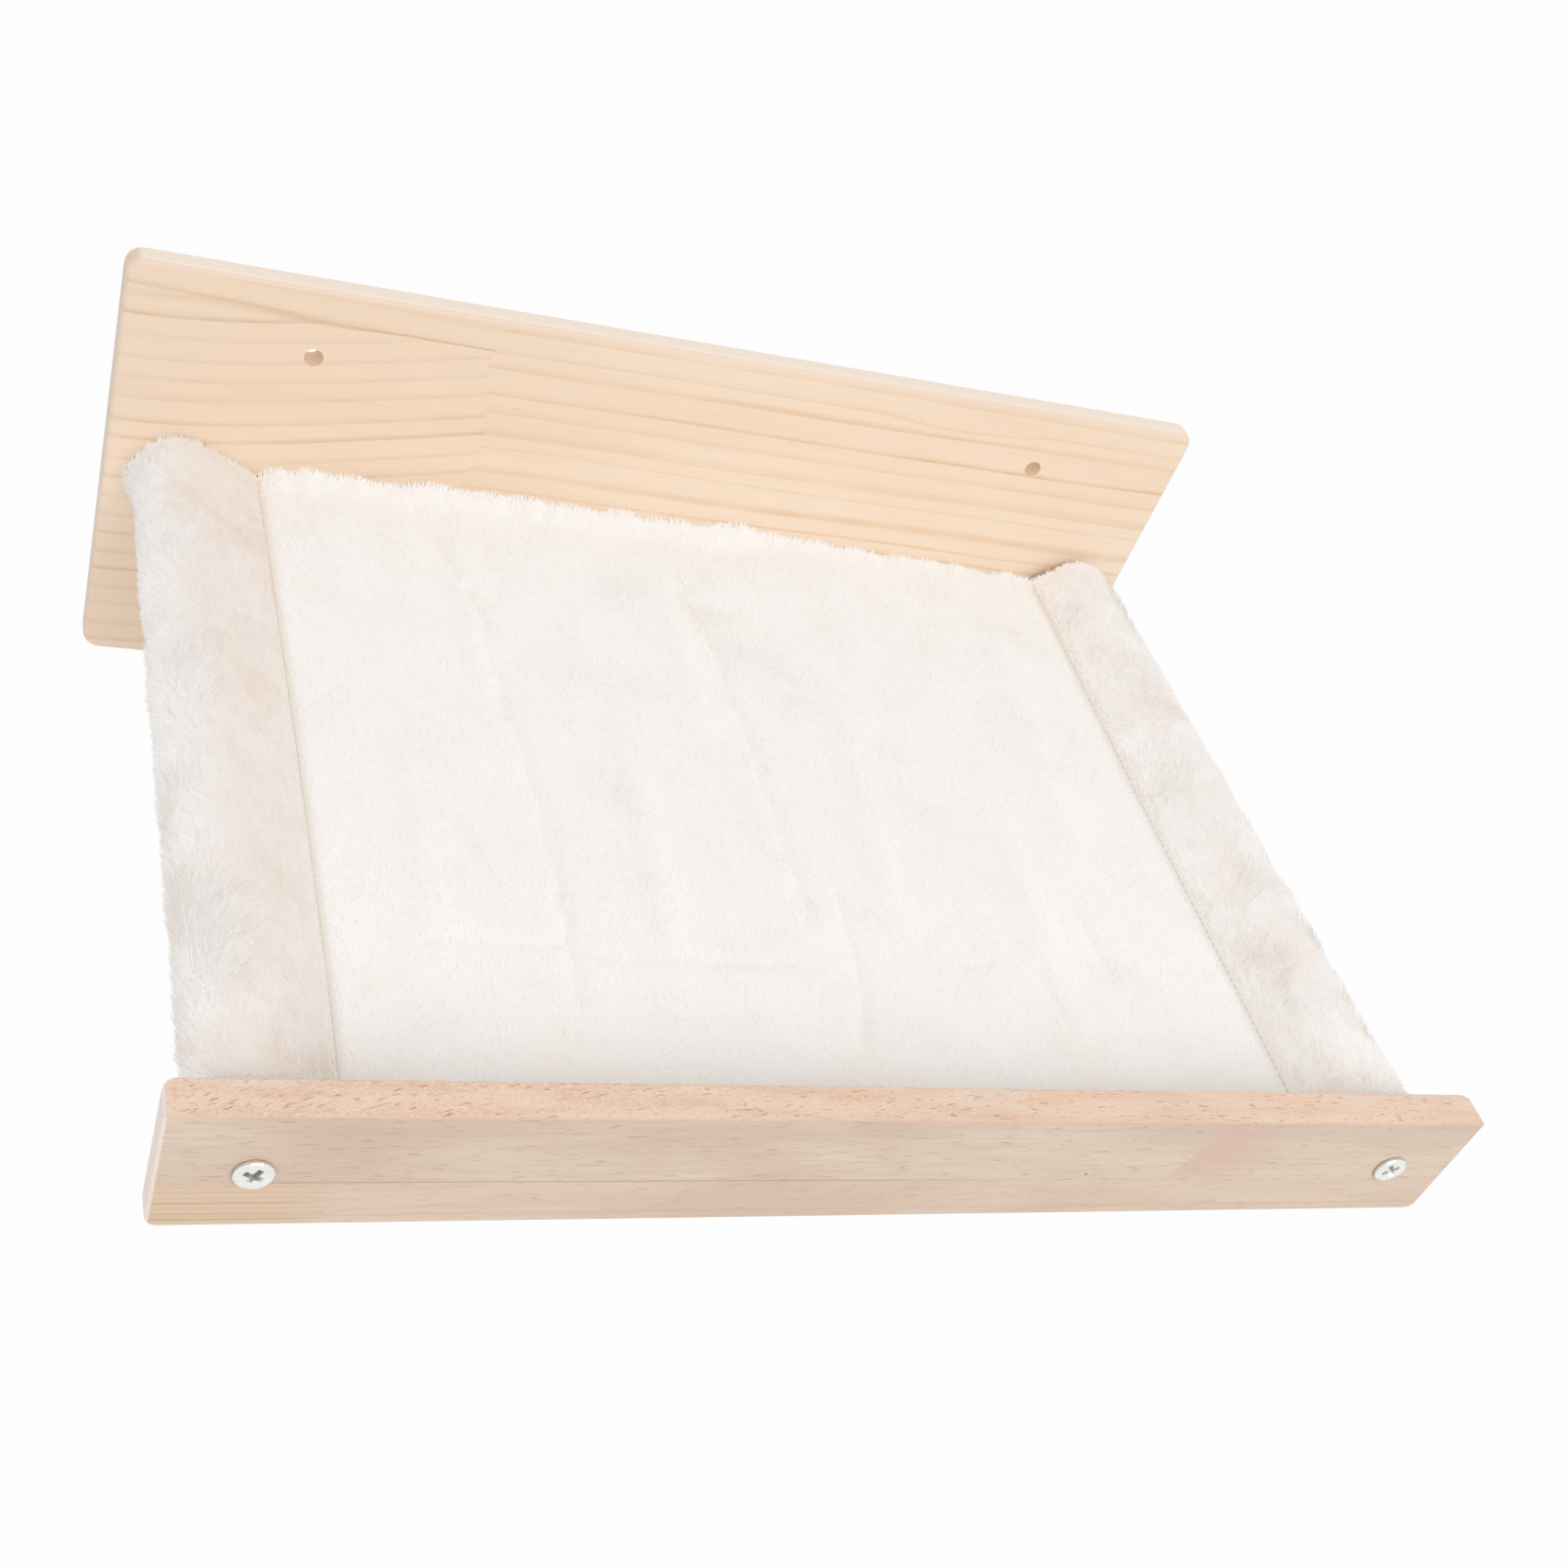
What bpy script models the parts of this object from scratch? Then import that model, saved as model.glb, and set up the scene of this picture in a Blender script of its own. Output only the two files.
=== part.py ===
"""Wall-hung cat bed: a wall board, a front rail, two dowels between them and a plush sling on the dowels.

Metres, +Z up. The origin lies on the wall, midway between the two wall-screw holes. +X is to the right
as seen from the room, and +Y points into the wall.
"""

import math

import bmesh
import bpy
from mathutils import Matrix, Vector

# Clearance that neighbouring pieces keep
GAP = 0.0003

# Wall board, with rounded corners and well rounded edges
BOARD_LENGTH = 0.400
WALL_BOARD_THICKNESS = 0.009
WALL_BOARD_ABOVE_DOWELS = 0.074
WALL_BOARD_BELOW_DOWELS = 0.081
WALL_BOARD_CORNER = 0.006
WALL_BOARD_EDGE = 0.0021

# Front rail, with its rear upright edges rounded the most
RAIL_THICKNESS = 0.012
RAIL_HEIGHT = 0.044
RAIL_TOP_CORNER = 0.0015
RAIL_BOTTOM_CORNER = 0.0035
RAIL_FRONT_UPRIGHT = 0.0012
RAIL_REAR_UPRIGHT = 0.005
RAIL_EDGE = 0.0007

# Through holes for the wall screws
WALL_HOLE_DIAMETER = 0.0065
WALL_HOLE_BELOW_TOP = 0.025
WALL_HOLE_FROM_END = 0.062

# How far each drill and cutter stands out of the face that it starts from
CUTTER_OVERRUN = 0.004

# Dowels, whose length is the clear depth of the bed
DOWEL_DIAMETER = 0.022
CLEAR_DEPTH = 0.287
DOWEL_FROM_END = 0.024
DOWEL_CHAMFER = 0.0008

# Flat-headed furniture bolts with a cross recess
SHANK_DIAMETER = 0.005
BOLT_REACH = 0.012
BOLT_TIP_CHAMFER = 0.0007
HEAD_DIAMETER = 0.0104
HEAD_HEIGHT = 0.0012
HEAD_BEVEL = 0.00035
CROSS_SPAN = 0.0060
CROSS_ARM_WIDTH = 0.0017
CROSS_DEPTH = 0.0024
CROSS_TAPER = 0.45
LEFT_RAIL_BOLT_TURN = math.radians(30)
RIGHT_RAIL_BOLT_TURN = math.radians(55)
LEFT_WALL_BOLT_TURN = math.radians(12)
RIGHT_WALL_BOLT_TURN = math.radians(71)

# Counterbores that sink the rear bolt heads below the wall board's back
COUNTERBORE_DEPTH = 0.003
COUNTERBORE_CLEARANCE = 0.0008

# Threaded inserts pressed into the dowel ends
INSERT_DIAMETER = 0.008
INSERT_LENGTH = 0.011
INSERT_BARBS = 4
BARB_DEPTH = 0.0005
BARB_RISE_SHARE = 0.35
PILOT_BEYOND_BOLT = 0.002

# Plush sling: hems round the dowels, sewn to themselves, and the panel between the seams
PLUSH_THICKNESS = 0.0047
SLING_END_GAP = 0.0012
SEAM_BEYOND_SLEEVE = 0.009
SEAM_THICKNESS = 0.0034
SEAM_ALLOWANCE = 0.003
PUCKER_HEIGHT = 0.0004
PUCKERS = 9
PANEL_THICKNESS = 0.004
PANEL_SAG = 0.001
FOLD_HEIGHT = 0.0013
FOLD_WIDTH = 0.0075

# The higher this power, the closer to the seams the folds fade out
FOLD_FADE_POWER = 8

# Shallow lengthwise folds in the panel: place of the middle as a share of the panel's half width and
# half depth, length as a share of its depth, and turn
FOLDS = (
    (-0.56, 0.55, 0.50, math.radians(3)),
    (-0.06, 0.50, 0.42, math.radians(4)),
    (0.24, -0.10, 0.46, math.radians(5)),
    (-0.30, -0.28, 0.52, math.radians(4)),
    (-0.78, -0.30, 0.44, math.radians(2)),
    (0.55, -0.45, 0.50, math.radians(6)),
    (0.78, 0.35, 0.48, math.radians(4)),
)

# Facets
CORNER_STEPS = 6
WALL_BOARD_EDGE_STEPS = 4
RAIL_EDGE_STEPS = 2
HOLE_SIDES = 32
DOWEL_SIDES = 40
BOLT_SIDES = 32
INSERT_SIDES = 24
SLEEVE_ARC_STEPS = 24
RINGS_PER_PUCKER = 4
PANEL_STEPS_ACROSS = 54
PANEL_STEPS_DEEP = 10
SMOOTH_ANGLE = math.radians(35)
WELD_DISTANCE = 1e-6

# Places that follow from the sizes
DOWEL_X = BOARD_LENGTH / 2 - DOWEL_FROM_END
WALL_HOLE_X = BOARD_LENGTH / 2 - WALL_HOLE_FROM_END
DOWEL_Z = WALL_HOLE_BELOW_TOP - WALL_BOARD_ABOVE_DOWELS
WALL_FRONT_Y = -WALL_BOARD_THICKNESS
RAIL_REAR_Y = WALL_FRONT_Y - CLEAR_DEPTH
RAIL_FRONT_Y = RAIL_REAR_Y - RAIL_THICKNESS
SLEEVE_BORE = DOWEL_DIAMETER / 2 + GAP
SLEEVE_RADIUS = SLEEVE_BORE + PLUSH_THICKNESS
SEAM_REACH = SLEEVE_RADIUS + SEAM_BEYOND_SLEEVE
BOLT_LENGTH = RAIL_THICKNESS + BOLT_REACH
SHANK_HOLE_RADIUS = SHANK_DIAMETER / 2 + GAP


def clear_scene():
    """Remove whatever the open file holds."""
    for obj in list(bpy.data.objects):
        bpy.data.objects.remove(obj, do_unlink=True)


def make_material(name, colour, roughness, metallic=0.0):
    """A Principled material of one colour."""
    material = bpy.data.materials.new(name)
    material.use_nodes = True
    shader = material.node_tree.nodes["Principled BSDF"]
    shader.inputs["Base Color"].default_value = (*colour, 1.0)
    shader.inputs["Roughness"].default_value = roughness
    shader.inputs["Metallic"].default_value = metallic
    material.diffuse_color = (*colour, 1.0)
    return material


def finish_mesh(name, bm, material=None):
    """Turn a bmesh into a smooth-shaded mesh whose faces point outwards."""
    bmesh.ops.recalc_face_normals(bm, faces=bm.faces)
    mesh = bpy.data.meshes.new(name)
    bm.to_mesh(mesh)
    bm.free()
    mesh.shade_smooth()
    mesh.set_sharp_from_angle(angle=SMOOTH_ANGLE)
    if material:
        mesh.materials.append(material)
    return mesh


def place(name, mesh, location, rotation=(0.0, 0.0, 0.0)):
    """Put a mesh into the scene as an object of its own."""
    obj = bpy.data.objects.new(name, mesh)
    obj.location = location
    obj.rotation_euler = rotation
    bpy.context.scene.collection.objects.link(obj)
    return obj


def add_object(name, bm, material=None, location=(0.0, 0.0, 0.0)):
    """Turn a bmesh into a smooth-shaded object at its place."""
    return place(name, finish_mesh(name, bm, material), location)


def turn_profile(profile, sides, closed=False):
    """A solid of revolution about the Y axis, from (radius, along Y) points.

    An open profile starts and ends on the axis. A closed one is a ring's section.
    """
    bm = bmesh.new()
    points = [bm.verts.new((radius, along, 0.0)) for radius, along in profile]
    edges = [bm.edges.new(pair) for pair in zip(points, points[1:])]
    if closed:
        edges.append(bm.edges.new((points[-1], points[0])))
    bmesh.ops.spin(
        bm,
        geom=points + edges,
        cent=(0.0, 0.0, 0.0),
        axis=(0.0, 1.0, 0.0),
        angle=math.tau,
        steps=sides,
        use_merge=True,
    )
    bmesh.ops.remove_doubles(bm, verts=bm.verts, dist=WELD_DISTANCE)
    return bm


def cut(target, cutter, parent=None, operation="DIFFERENCE"):
    """Subtract a guide body from a piece, or keep what lies inside it, and hide the guide."""
    cutter.display_type = "WIRE"
    cutter.hide_render = True
    cutter.parent = parent
    modifier = target.modifiers.new(cutter.name, "BOOLEAN")
    modifier.operation = operation
    modifier.solver = "EXACT"
    modifier.object = cutter


def loft_rings(bm, rings):
    """Skin a row of closed rings with quads."""
    count = len(rings[0])
    for near, far in zip(rings, rings[1:]):
        for i in range(count):
            j = (i + 1) % count
            bm.faces.new((near[i], near[j], far[j], far[i]))


def rounded_outline(width, height, low_radius, high_radius):
    """A rectangle about the origin, with a radius for its two lower corners and one for the upper two."""
    points = []
    for quarter, (across, up) in enumerate(((1, 1), (-1, 1), (-1, -1), (1, -1))):
        radius = high_radius if up > 0 else low_radius
        for step in range(CORNER_STEPS + 1):
            angle = (quarter + step / CORNER_STEPS) * math.pi / 2
            u = across * (width / 2 - radius) + radius * math.cos(angle)
            v = up * (height / 2 - radius) + radius * math.sin(angle)
            points.append((u, v))
    return points


def prism(outline, length, upright=False):
    """A solid with that outline, about the origin: along Y, or along Z where it is upright."""
    bm = bmesh.new()
    rings = []
    for along in (-length / 2, length / 2):
        corners = [(u, v, along) if upright else (u, along, v) for u, v in outline]
        rings.append([bm.verts.new(corner) for corner in corners])
    loft_rings(bm, rings)
    for ring in rings:
        bm.faces.new(ring)
    return bm


def round_rims(bm, radius, steps):
    """Round the edges about a board's front and rear faces."""
    rims = [edge for edge in bm.edges if edge.verts[0].co.y * edge.verts[1].co.y > 0]
    bmesh.ops.recalc_face_normals(bm, faces=bm.faces)
    bmesh.ops.bevel(bm, geom=rims, offset=radius, segments=steps, profile=0.5, affect="EDGES")


def drill(board, name, x, z, profile):
    """Cut a turned hole through a board at its world X and Z."""
    cutter = add_object(name, turn_profile(profile, HOLE_SIDES), location=(x, 0.0, z))
    cut(board, cutter)


def straight_hole(radius, front, rear):
    """The profile of a plain drill that passes both faces of a board."""
    start = front - CUTTER_OVERRUN
    end = rear + CUTTER_OVERRUN
    return ((0.0, start), (radius, start), (radius, end), (0.0, end))


def make_wall_board(material):
    """The tall board on the wall: two screw holes, and two stepped holes for the dowels' bolts."""
    height = WALL_BOARD_ABOVE_DOWELS + WALL_BOARD_BELOW_DOWELS
    centre_z = WALL_HOLE_BELOW_TOP - height / 2
    outline = rounded_outline(BOARD_LENGTH, height, WALL_BOARD_CORNER, WALL_BOARD_CORNER)
    bm = prism(outline, WALL_BOARD_THICKNESS)
    round_rims(bm, WALL_BOARD_EDGE, WALL_BOARD_EDGE_STEPS)
    board = add_object("wall_board", bm, material, (0.0, WALL_FRONT_Y / 2, centre_z))
    counterbore = HEAD_DIAMETER / 2 + COUNTERBORE_CLEARANCE
    stepped = (
        (0.0, WALL_FRONT_Y - CUTTER_OVERRUN),
        (SHANK_HOLE_RADIUS, WALL_FRONT_Y - CUTTER_OVERRUN),
        (SHANK_HOLE_RADIUS, -COUNTERBORE_DEPTH),
        (counterbore, -COUNTERBORE_DEPTH),
        (counterbore, CUTTER_OVERRUN),
        (0.0, CUTTER_OVERRUN),
    )
    plain = straight_hole(WALL_HOLE_DIAMETER / 2, WALL_FRONT_Y, 0.0)
    for side, sign in (("left", -1), ("right", 1)):
        drill(board, f"{side}_wall_screw_drill", sign * WALL_HOLE_X, 0.0, plain)
        drill(board, f"{side}_wall_bolt_drill", sign * DOWEL_X, DOWEL_Z, stepped)


def make_front_rail(material):
    """The low board at the front, bolted to the dowels at half its height."""
    centre = (0.0, (RAIL_REAR_Y + RAIL_FRONT_Y) / 2, DOWEL_Z)
    front = rounded_outline(BOARD_LENGTH, RAIL_HEIGHT, RAIL_BOTTOM_CORNER, RAIL_TOP_CORNER)
    bm = prism(front, RAIL_THICKNESS)
    round_rims(bm, RAIL_EDGE, RAIL_EDGE_STEPS)
    rail = add_object("front_rail", bm, material, centre)
    plan = rounded_outline(BOARD_LENGTH, RAIL_THICKNESS, RAIL_FRONT_UPRIGHT, RAIL_REAR_UPRIGHT)
    upright = prism(plan, RAIL_HEIGHT + 2 * CUTTER_OVERRUN, upright=True)
    cut(rail, add_object("rail_plan", upright, location=centre), operation="INTERSECT")
    plain = straight_hole(SHANK_HOLE_RADIUS, RAIL_FRONT_Y, RAIL_REAR_Y)
    for side, sign in (("left", -1), ("right", 1)):
        drill(rail, f"{side}_rail_bolt_drill", sign * DOWEL_X, DOWEL_Z, plain)


def bored_end(reach):
    """Half of a dowel's section, from the blind end of its pilot hole out to its rim.

    Distances run outwards from the dowel's end face, so they are negative inside the wood.
    """
    pilot = SHANK_HOLE_RADIUS
    seat = INSERT_DIAMETER / 2 + GAP
    blind = -(reach + PILOT_BEYOND_BOLT)
    return (
        (0.0, blind),
        (pilot, blind),
        (pilot, -INSERT_LENGTH - GAP),
        (seat, -INSERT_LENGTH - GAP),
        (seat, 0.0),
        (DOWEL_DIAMETER / 2 - DOWEL_CHAMFER, 0.0),
        (DOWEL_DIAMETER / 2, -DOWEL_CHAMFER),
    )


def make_dowel(name, x, material):
    """A rod between the boards, bored at each end for an insert and the tip of its bolt."""
    half = CLEAR_DEPTH / 2 - GAP
    deepest = BOLT_LENGTH - (WALL_BOARD_THICKNESS - COUNTERBORE_DEPTH)
    front = [(radius, -(half + along)) for radius, along in bored_end(deepest)]
    rear = [(radius, half + along) for radius, along in bored_end(deepest)]
    middle_y = (WALL_FRONT_Y + RAIL_REAR_Y) / 2
    bm = turn_profile(front + rear[::-1], DOWEL_SIDES)
    add_object(name, bm, material, (x, middle_y, DOWEL_Z))


def insert_section():
    """Section of a threaded insert: a straight bore, and barbs that point out of the dowel."""
    inside = SHANK_HOLE_RADIUS
    outside = INSERT_DIAMETER / 2
    pitch = INSERT_LENGTH / (INSERT_BARBS + 1)
    section = [(inside, 0.0), (outside, 0.0), (outside, pitch)]
    for barb in range(INSERT_BARBS):
        start = pitch * (barb + 1)
        section.append((outside - BARB_DEPTH, start))
        section.append((outside, start + pitch * BARB_RISE_SHARE))
        section.append((outside - BARB_DEPTH, start + pitch))
    section.append((inside, INSERT_LENGTH))
    return section


def make_insert_mesh(material):
    """The mesh that the four inserts share, with its mouth at Y = 0."""
    bm = turn_profile(insert_section(), INSERT_SIDES, closed=True)
    return finish_mesh("threaded_insert", bm, material)


def make_bolt_mesh(material):
    """The mesh that the four bolts share: head above Y = 0 on the -Y side, shank towards +Y."""
    head = HEAD_DIAMETER / 2
    shank = SHANK_DIAMETER / 2
    profile = (
        (0.0, -HEAD_HEIGHT),
        (head - HEAD_BEVEL, -HEAD_HEIGHT),
        (head, -HEAD_HEIGHT + HEAD_BEVEL),
        (head, 0.0),
        (shank, 0.0),
        (shank, BOLT_LENGTH - BOLT_TIP_CHAMFER),
        (shank - BOLT_TIP_CHAMFER, BOLT_LENGTH),
        (0.0, BOLT_LENGTH),
    )
    return finish_mesh("furniture_bolt", turn_profile(profile, BOLT_SIDES), material)


def cross_cutter():
    """A cross-shaped wedge that narrows towards its tip, for the recess in a bolt's head."""
    half_span = CROSS_SPAN / 2
    half_arm = CROSS_ARM_WIDTH / 2
    outline = []
    for quarter in range(4):
        turn = Matrix.Rotation(quarter * math.pi / 2, 2)
        for corner in ((half_span, -half_arm), (half_span, half_arm), (half_arm, half_arm)):
            outline.append(turn @ Vector(corner))
    stations = (
        (-HEAD_HEIGHT - CUTTER_OVERRUN, 1.0),
        (-HEAD_HEIGHT, 1.0),
        (CROSS_DEPTH - HEAD_HEIGHT, CROSS_TAPER),
    )
    bm = bmesh.new()
    rings = []
    for along, size in stations:
        rings.append([bm.verts.new((p.x * size, along, p.y * size)) for p in outline])
    loft_rings(bm, rings)
    bm.faces.new(rings[0])
    bm.faces.new(rings[-1])
    return bm


def place_bolt(name, mesh, x, seat_y, facing, turn):
    """One bolt with its head's underside a gap off its seat, facing the room or the wall."""
    about_z = 0.0 if facing == "room" else math.pi
    off = -GAP if facing == "room" else GAP
    bolt = place(name, mesh, (x, seat_y + off, DOWEL_Z), (0.0, turn, about_z))
    cut(bolt, add_object(f"{name}_cross_cutter", cross_cutter()), parent=bolt)


def make_fasteners(nickel, zinc):
    """A bolt, and an insert with its mouth level with the wood, at each end of each dowel."""
    bolt_mesh = make_bolt_mesh(nickel)
    insert_mesh = make_insert_mesh(zinc)
    turns = {
        "left": (LEFT_RAIL_BOLT_TURN, LEFT_WALL_BOLT_TURN),
        "right": (RIGHT_RAIL_BOLT_TURN, RIGHT_WALL_BOLT_TURN),
    }
    for side, sign in (("left", -1), ("right", 1)):
        x = sign * DOWEL_X
        rail_turn, wall_turn = turns[side]
        place_bolt(f"{side}_rail_bolt", bolt_mesh, x, RAIL_FRONT_Y, "room", rail_turn)
        place_bolt(f"{side}_wall_bolt", bolt_mesh, x, -COUNTERBORE_DEPTH, "wall", wall_turn)
        place(f"{side}_front_insert", insert_mesh, (x, RAIL_REAR_Y + GAP, DOWEL_Z))
        half_turn = (0.0, 0.0, math.pi)
        place(f"{side}_rear_insert", insert_mesh, (x, WALL_FRONT_Y - GAP, DOWEL_Z), half_turn)


def drop_section(radius, tip, half_height):
    """A drop-shaped outline: an arc about the origin that runs tangentially to a blunt tip at +X."""
    start = math.atan2(half_height, tip) + math.acos(radius / math.hypot(tip, half_height))
    arc = math.tau - 2 * start
    points = [(tip, half_height)]
    for step in range(SLEEVE_ARC_STEPS + 1):
        angle = start + arc * step / SLEEVE_ARC_STEPS
        points.append((radius * math.cos(angle), radius * math.sin(angle)))
    points.append((tip, -half_height))
    return points


def make_sleeve(name, sign, material):
    """The hem round one dowel: a drop-shaped tube, slightly puckered, that closes at the seam."""
    front = RAIL_REAR_Y + SLING_END_GAP
    rear = WALL_FRONT_Y - SLING_END_GAP
    bore = drop_section(SLEEVE_BORE, SEAM_REACH - SEAM_ALLOWANCE, GAP)
    bm = bmesh.new()

    def ring(points, y):
        return [bm.verts.new((-sign * across, y, up)) for across, up in points]

    outer = []
    steps = PUCKERS * RINGS_PER_PUCKER
    for step in range(steps + 1):
        pucker = PUCKER_HEIGHT * math.sin(math.tau * PUCKERS * step / steps)
        outline = drop_section(SLEEVE_RADIUS + pucker, SEAM_REACH, SEAM_THICKNESS / 2)
        outer.append(ring(outline, front + (rear - front) * step / steps))
    inner = [ring(bore, front), ring(bore, rear)]
    loft_rings(bm, outer)
    loft_rings(bm, inner)
    loft_rings(bm, [outer[0], inner[0]])
    loft_rings(bm, [outer[-1], inner[-1]])
    add_object(name, bm, material, (sign * DOWEL_X, 0.0, DOWEL_Z))


def fold_height(across, deep):
    """Height of the panel's folds and sag at a place given from -1 to 1 across and deep."""
    half_width = DOWEL_X - SEAM_REACH
    half_depth = CLEAR_DEPTH / 2
    height = -PANEL_SAG * (1 - across * across)
    for fold_across, fold_deep, length, turn in FOLDS:
        x = (across - fold_across) * half_width
        y = (deep - fold_deep) * half_depth
        aside = x * math.cos(turn) + y * math.sin(turn)
        along = y * math.cos(turn) - x * math.sin(turn)
        reach = length * half_depth
        crest = math.exp(-((aside / FOLD_WIDTH) ** 2)) * math.exp(-((along / reach) ** 2))
        height += FOLD_HEIGHT * crest * (1 - across**FOLD_FADE_POWER)
    return height


def make_panel(material):
    """The plush between the two seams: a thin sheet with shallow lengthwise folds."""
    half_width = DOWEL_X - SEAM_REACH - GAP
    front = RAIL_REAR_Y + SLING_END_GAP
    rear = WALL_FRONT_Y - SLING_END_GAP
    bm = bmesh.new()
    sheets = []
    for face in (-0.5, 0.5):
        rows = []
        for j in range(PANEL_STEPS_DEEP + 1):
            deep = 2 * j / PANEL_STEPS_DEEP - 1
            y = front + (rear - front) * j / PANEL_STEPS_DEEP
            row = []
            for i in range(PANEL_STEPS_ACROSS + 1):
                across = 2 * i / PANEL_STEPS_ACROSS - 1
                z = fold_height(across, deep) + face * PANEL_THICKNESS
                row.append(bm.verts.new((across * half_width, y, z)))
            rows.append(row)
        sheets.append(rows)
        for near, far in zip(rows, rows[1:]):
            for i in range(PANEL_STEPS_ACROSS):
                bm.faces.new((near[i], near[i + 1], far[i + 1], far[i]))
    bottom, top = (rim_of(rows) for rows in sheets)
    loft_rings(bm, [bottom, top])
    add_object("sling_panel", bm, material, (0.0, 0.0, DOWEL_Z))


def rim_of(rows):
    """The outer ring of a grid of points, in order."""
    right = [row[-1] for row in rows[1:-1]]
    left = [row[0] for row in rows[-2:0:-1]]
    return rows[0] + right + rows[-1][::-1] + left


def build():
    """Make the whole bed."""
    clear_scene()
    pine = make_material("pine", (0.80, 0.61, 0.40), 0.55)
    beech = make_material("beech", (0.78, 0.52, 0.34), 0.5)
    birch = make_material("birch_dowel", (0.82, 0.66, 0.46), 0.6)
    plush = make_material("plush", (0.86, 0.84, 0.81), 0.95)
    hem_plush = make_material("hem_plush", (0.82, 0.78, 0.75), 0.95)
    nickel = make_material("nickel", (0.78, 0.78, 0.76), 0.2, 1.0)
    zinc = make_material("zinc", (0.62, 0.62, 0.60), 0.4, 1.0)
    make_wall_board(pine)
    make_front_rail(beech)
    for side, sign in (("left", -1), ("right", 1)):
        make_dowel(f"{side}_dowel", sign * DOWEL_X, birch)
        make_sleeve(f"{side}_sleeve", sign, hem_plush)
    make_fasteners(nickel, zinc)
    make_panel(plush)


build()
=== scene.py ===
import math

import bpy
import numpy as np
from mathutils import Matrix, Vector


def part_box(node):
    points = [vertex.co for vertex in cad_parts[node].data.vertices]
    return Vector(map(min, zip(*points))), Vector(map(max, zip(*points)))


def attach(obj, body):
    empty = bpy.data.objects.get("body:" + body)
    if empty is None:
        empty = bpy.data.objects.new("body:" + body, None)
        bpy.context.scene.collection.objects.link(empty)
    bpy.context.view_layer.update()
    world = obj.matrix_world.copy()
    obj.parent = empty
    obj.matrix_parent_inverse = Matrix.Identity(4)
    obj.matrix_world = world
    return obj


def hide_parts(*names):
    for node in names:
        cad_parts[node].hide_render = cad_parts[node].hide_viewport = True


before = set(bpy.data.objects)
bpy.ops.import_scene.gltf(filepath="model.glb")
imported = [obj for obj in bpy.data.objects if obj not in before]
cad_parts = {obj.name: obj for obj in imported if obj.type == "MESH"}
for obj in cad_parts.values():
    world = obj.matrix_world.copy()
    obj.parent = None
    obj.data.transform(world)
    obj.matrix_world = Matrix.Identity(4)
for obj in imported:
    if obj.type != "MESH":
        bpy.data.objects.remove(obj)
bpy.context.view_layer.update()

# Places of the CAD parts, in metres: X to the right, Y into the wall, Z up.
board_low, board_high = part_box("wall_board")
rail_low, rail_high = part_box("front_rail")
dowel_low, dowel_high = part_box("right_dowel")
WALL_FACE = board_low.y
BOARD_TOP = board_high.z
BOARD_HALF = board_high.x
RAIL_FRONT, RAIL_BACK = rail_low.y, rail_high.y
RAIL_TOP = rail_high.z
RAIL_BOLT_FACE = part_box("right_rail_bolt")[0].y
WALL_BOLT_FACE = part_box("right_wall_bolt")[1].y
DOWEL_X = (dowel_low.x + dowel_high.x) / 2
DOWEL_Z = (dowel_low.z + dowel_high.z) / 2
SCREW_HOLE_X = 0.138
SCREW_HOLE_RADIUS = 0.00325

# The sling is one cloth: a flat panel between two seams, then a sleeve round each dowel.
SEAM_X = 0.151
CLOTH_THICKNESS = 0.0012
SLEEVE_RADIUS = (dowel_high.x - dowel_low.x) / 2 + 0.0009
PANEL_RISE = 0.0003
LOWER_SEAM_DROP = 0.0011
HEM_EDGE = 0.004
CLOTH_GAP = 0.0012
CLOTH_BACK = WALL_FACE - CLOTH_GAP
CLOTH_FRONT = RAIL_BACK + CLOTH_GAP


def colour(red, green, blue):
    """A colour picked on the screen, 0 to 255, as the numbers that a shader takes."""
    def straight(part):
        part /= 255
        return part / 12.92 if part <= 0.04045 else ((part + 0.055) / 1.055) ** 2.4
    return straight(red), straight(green), straight(blue), 1.0


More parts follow.
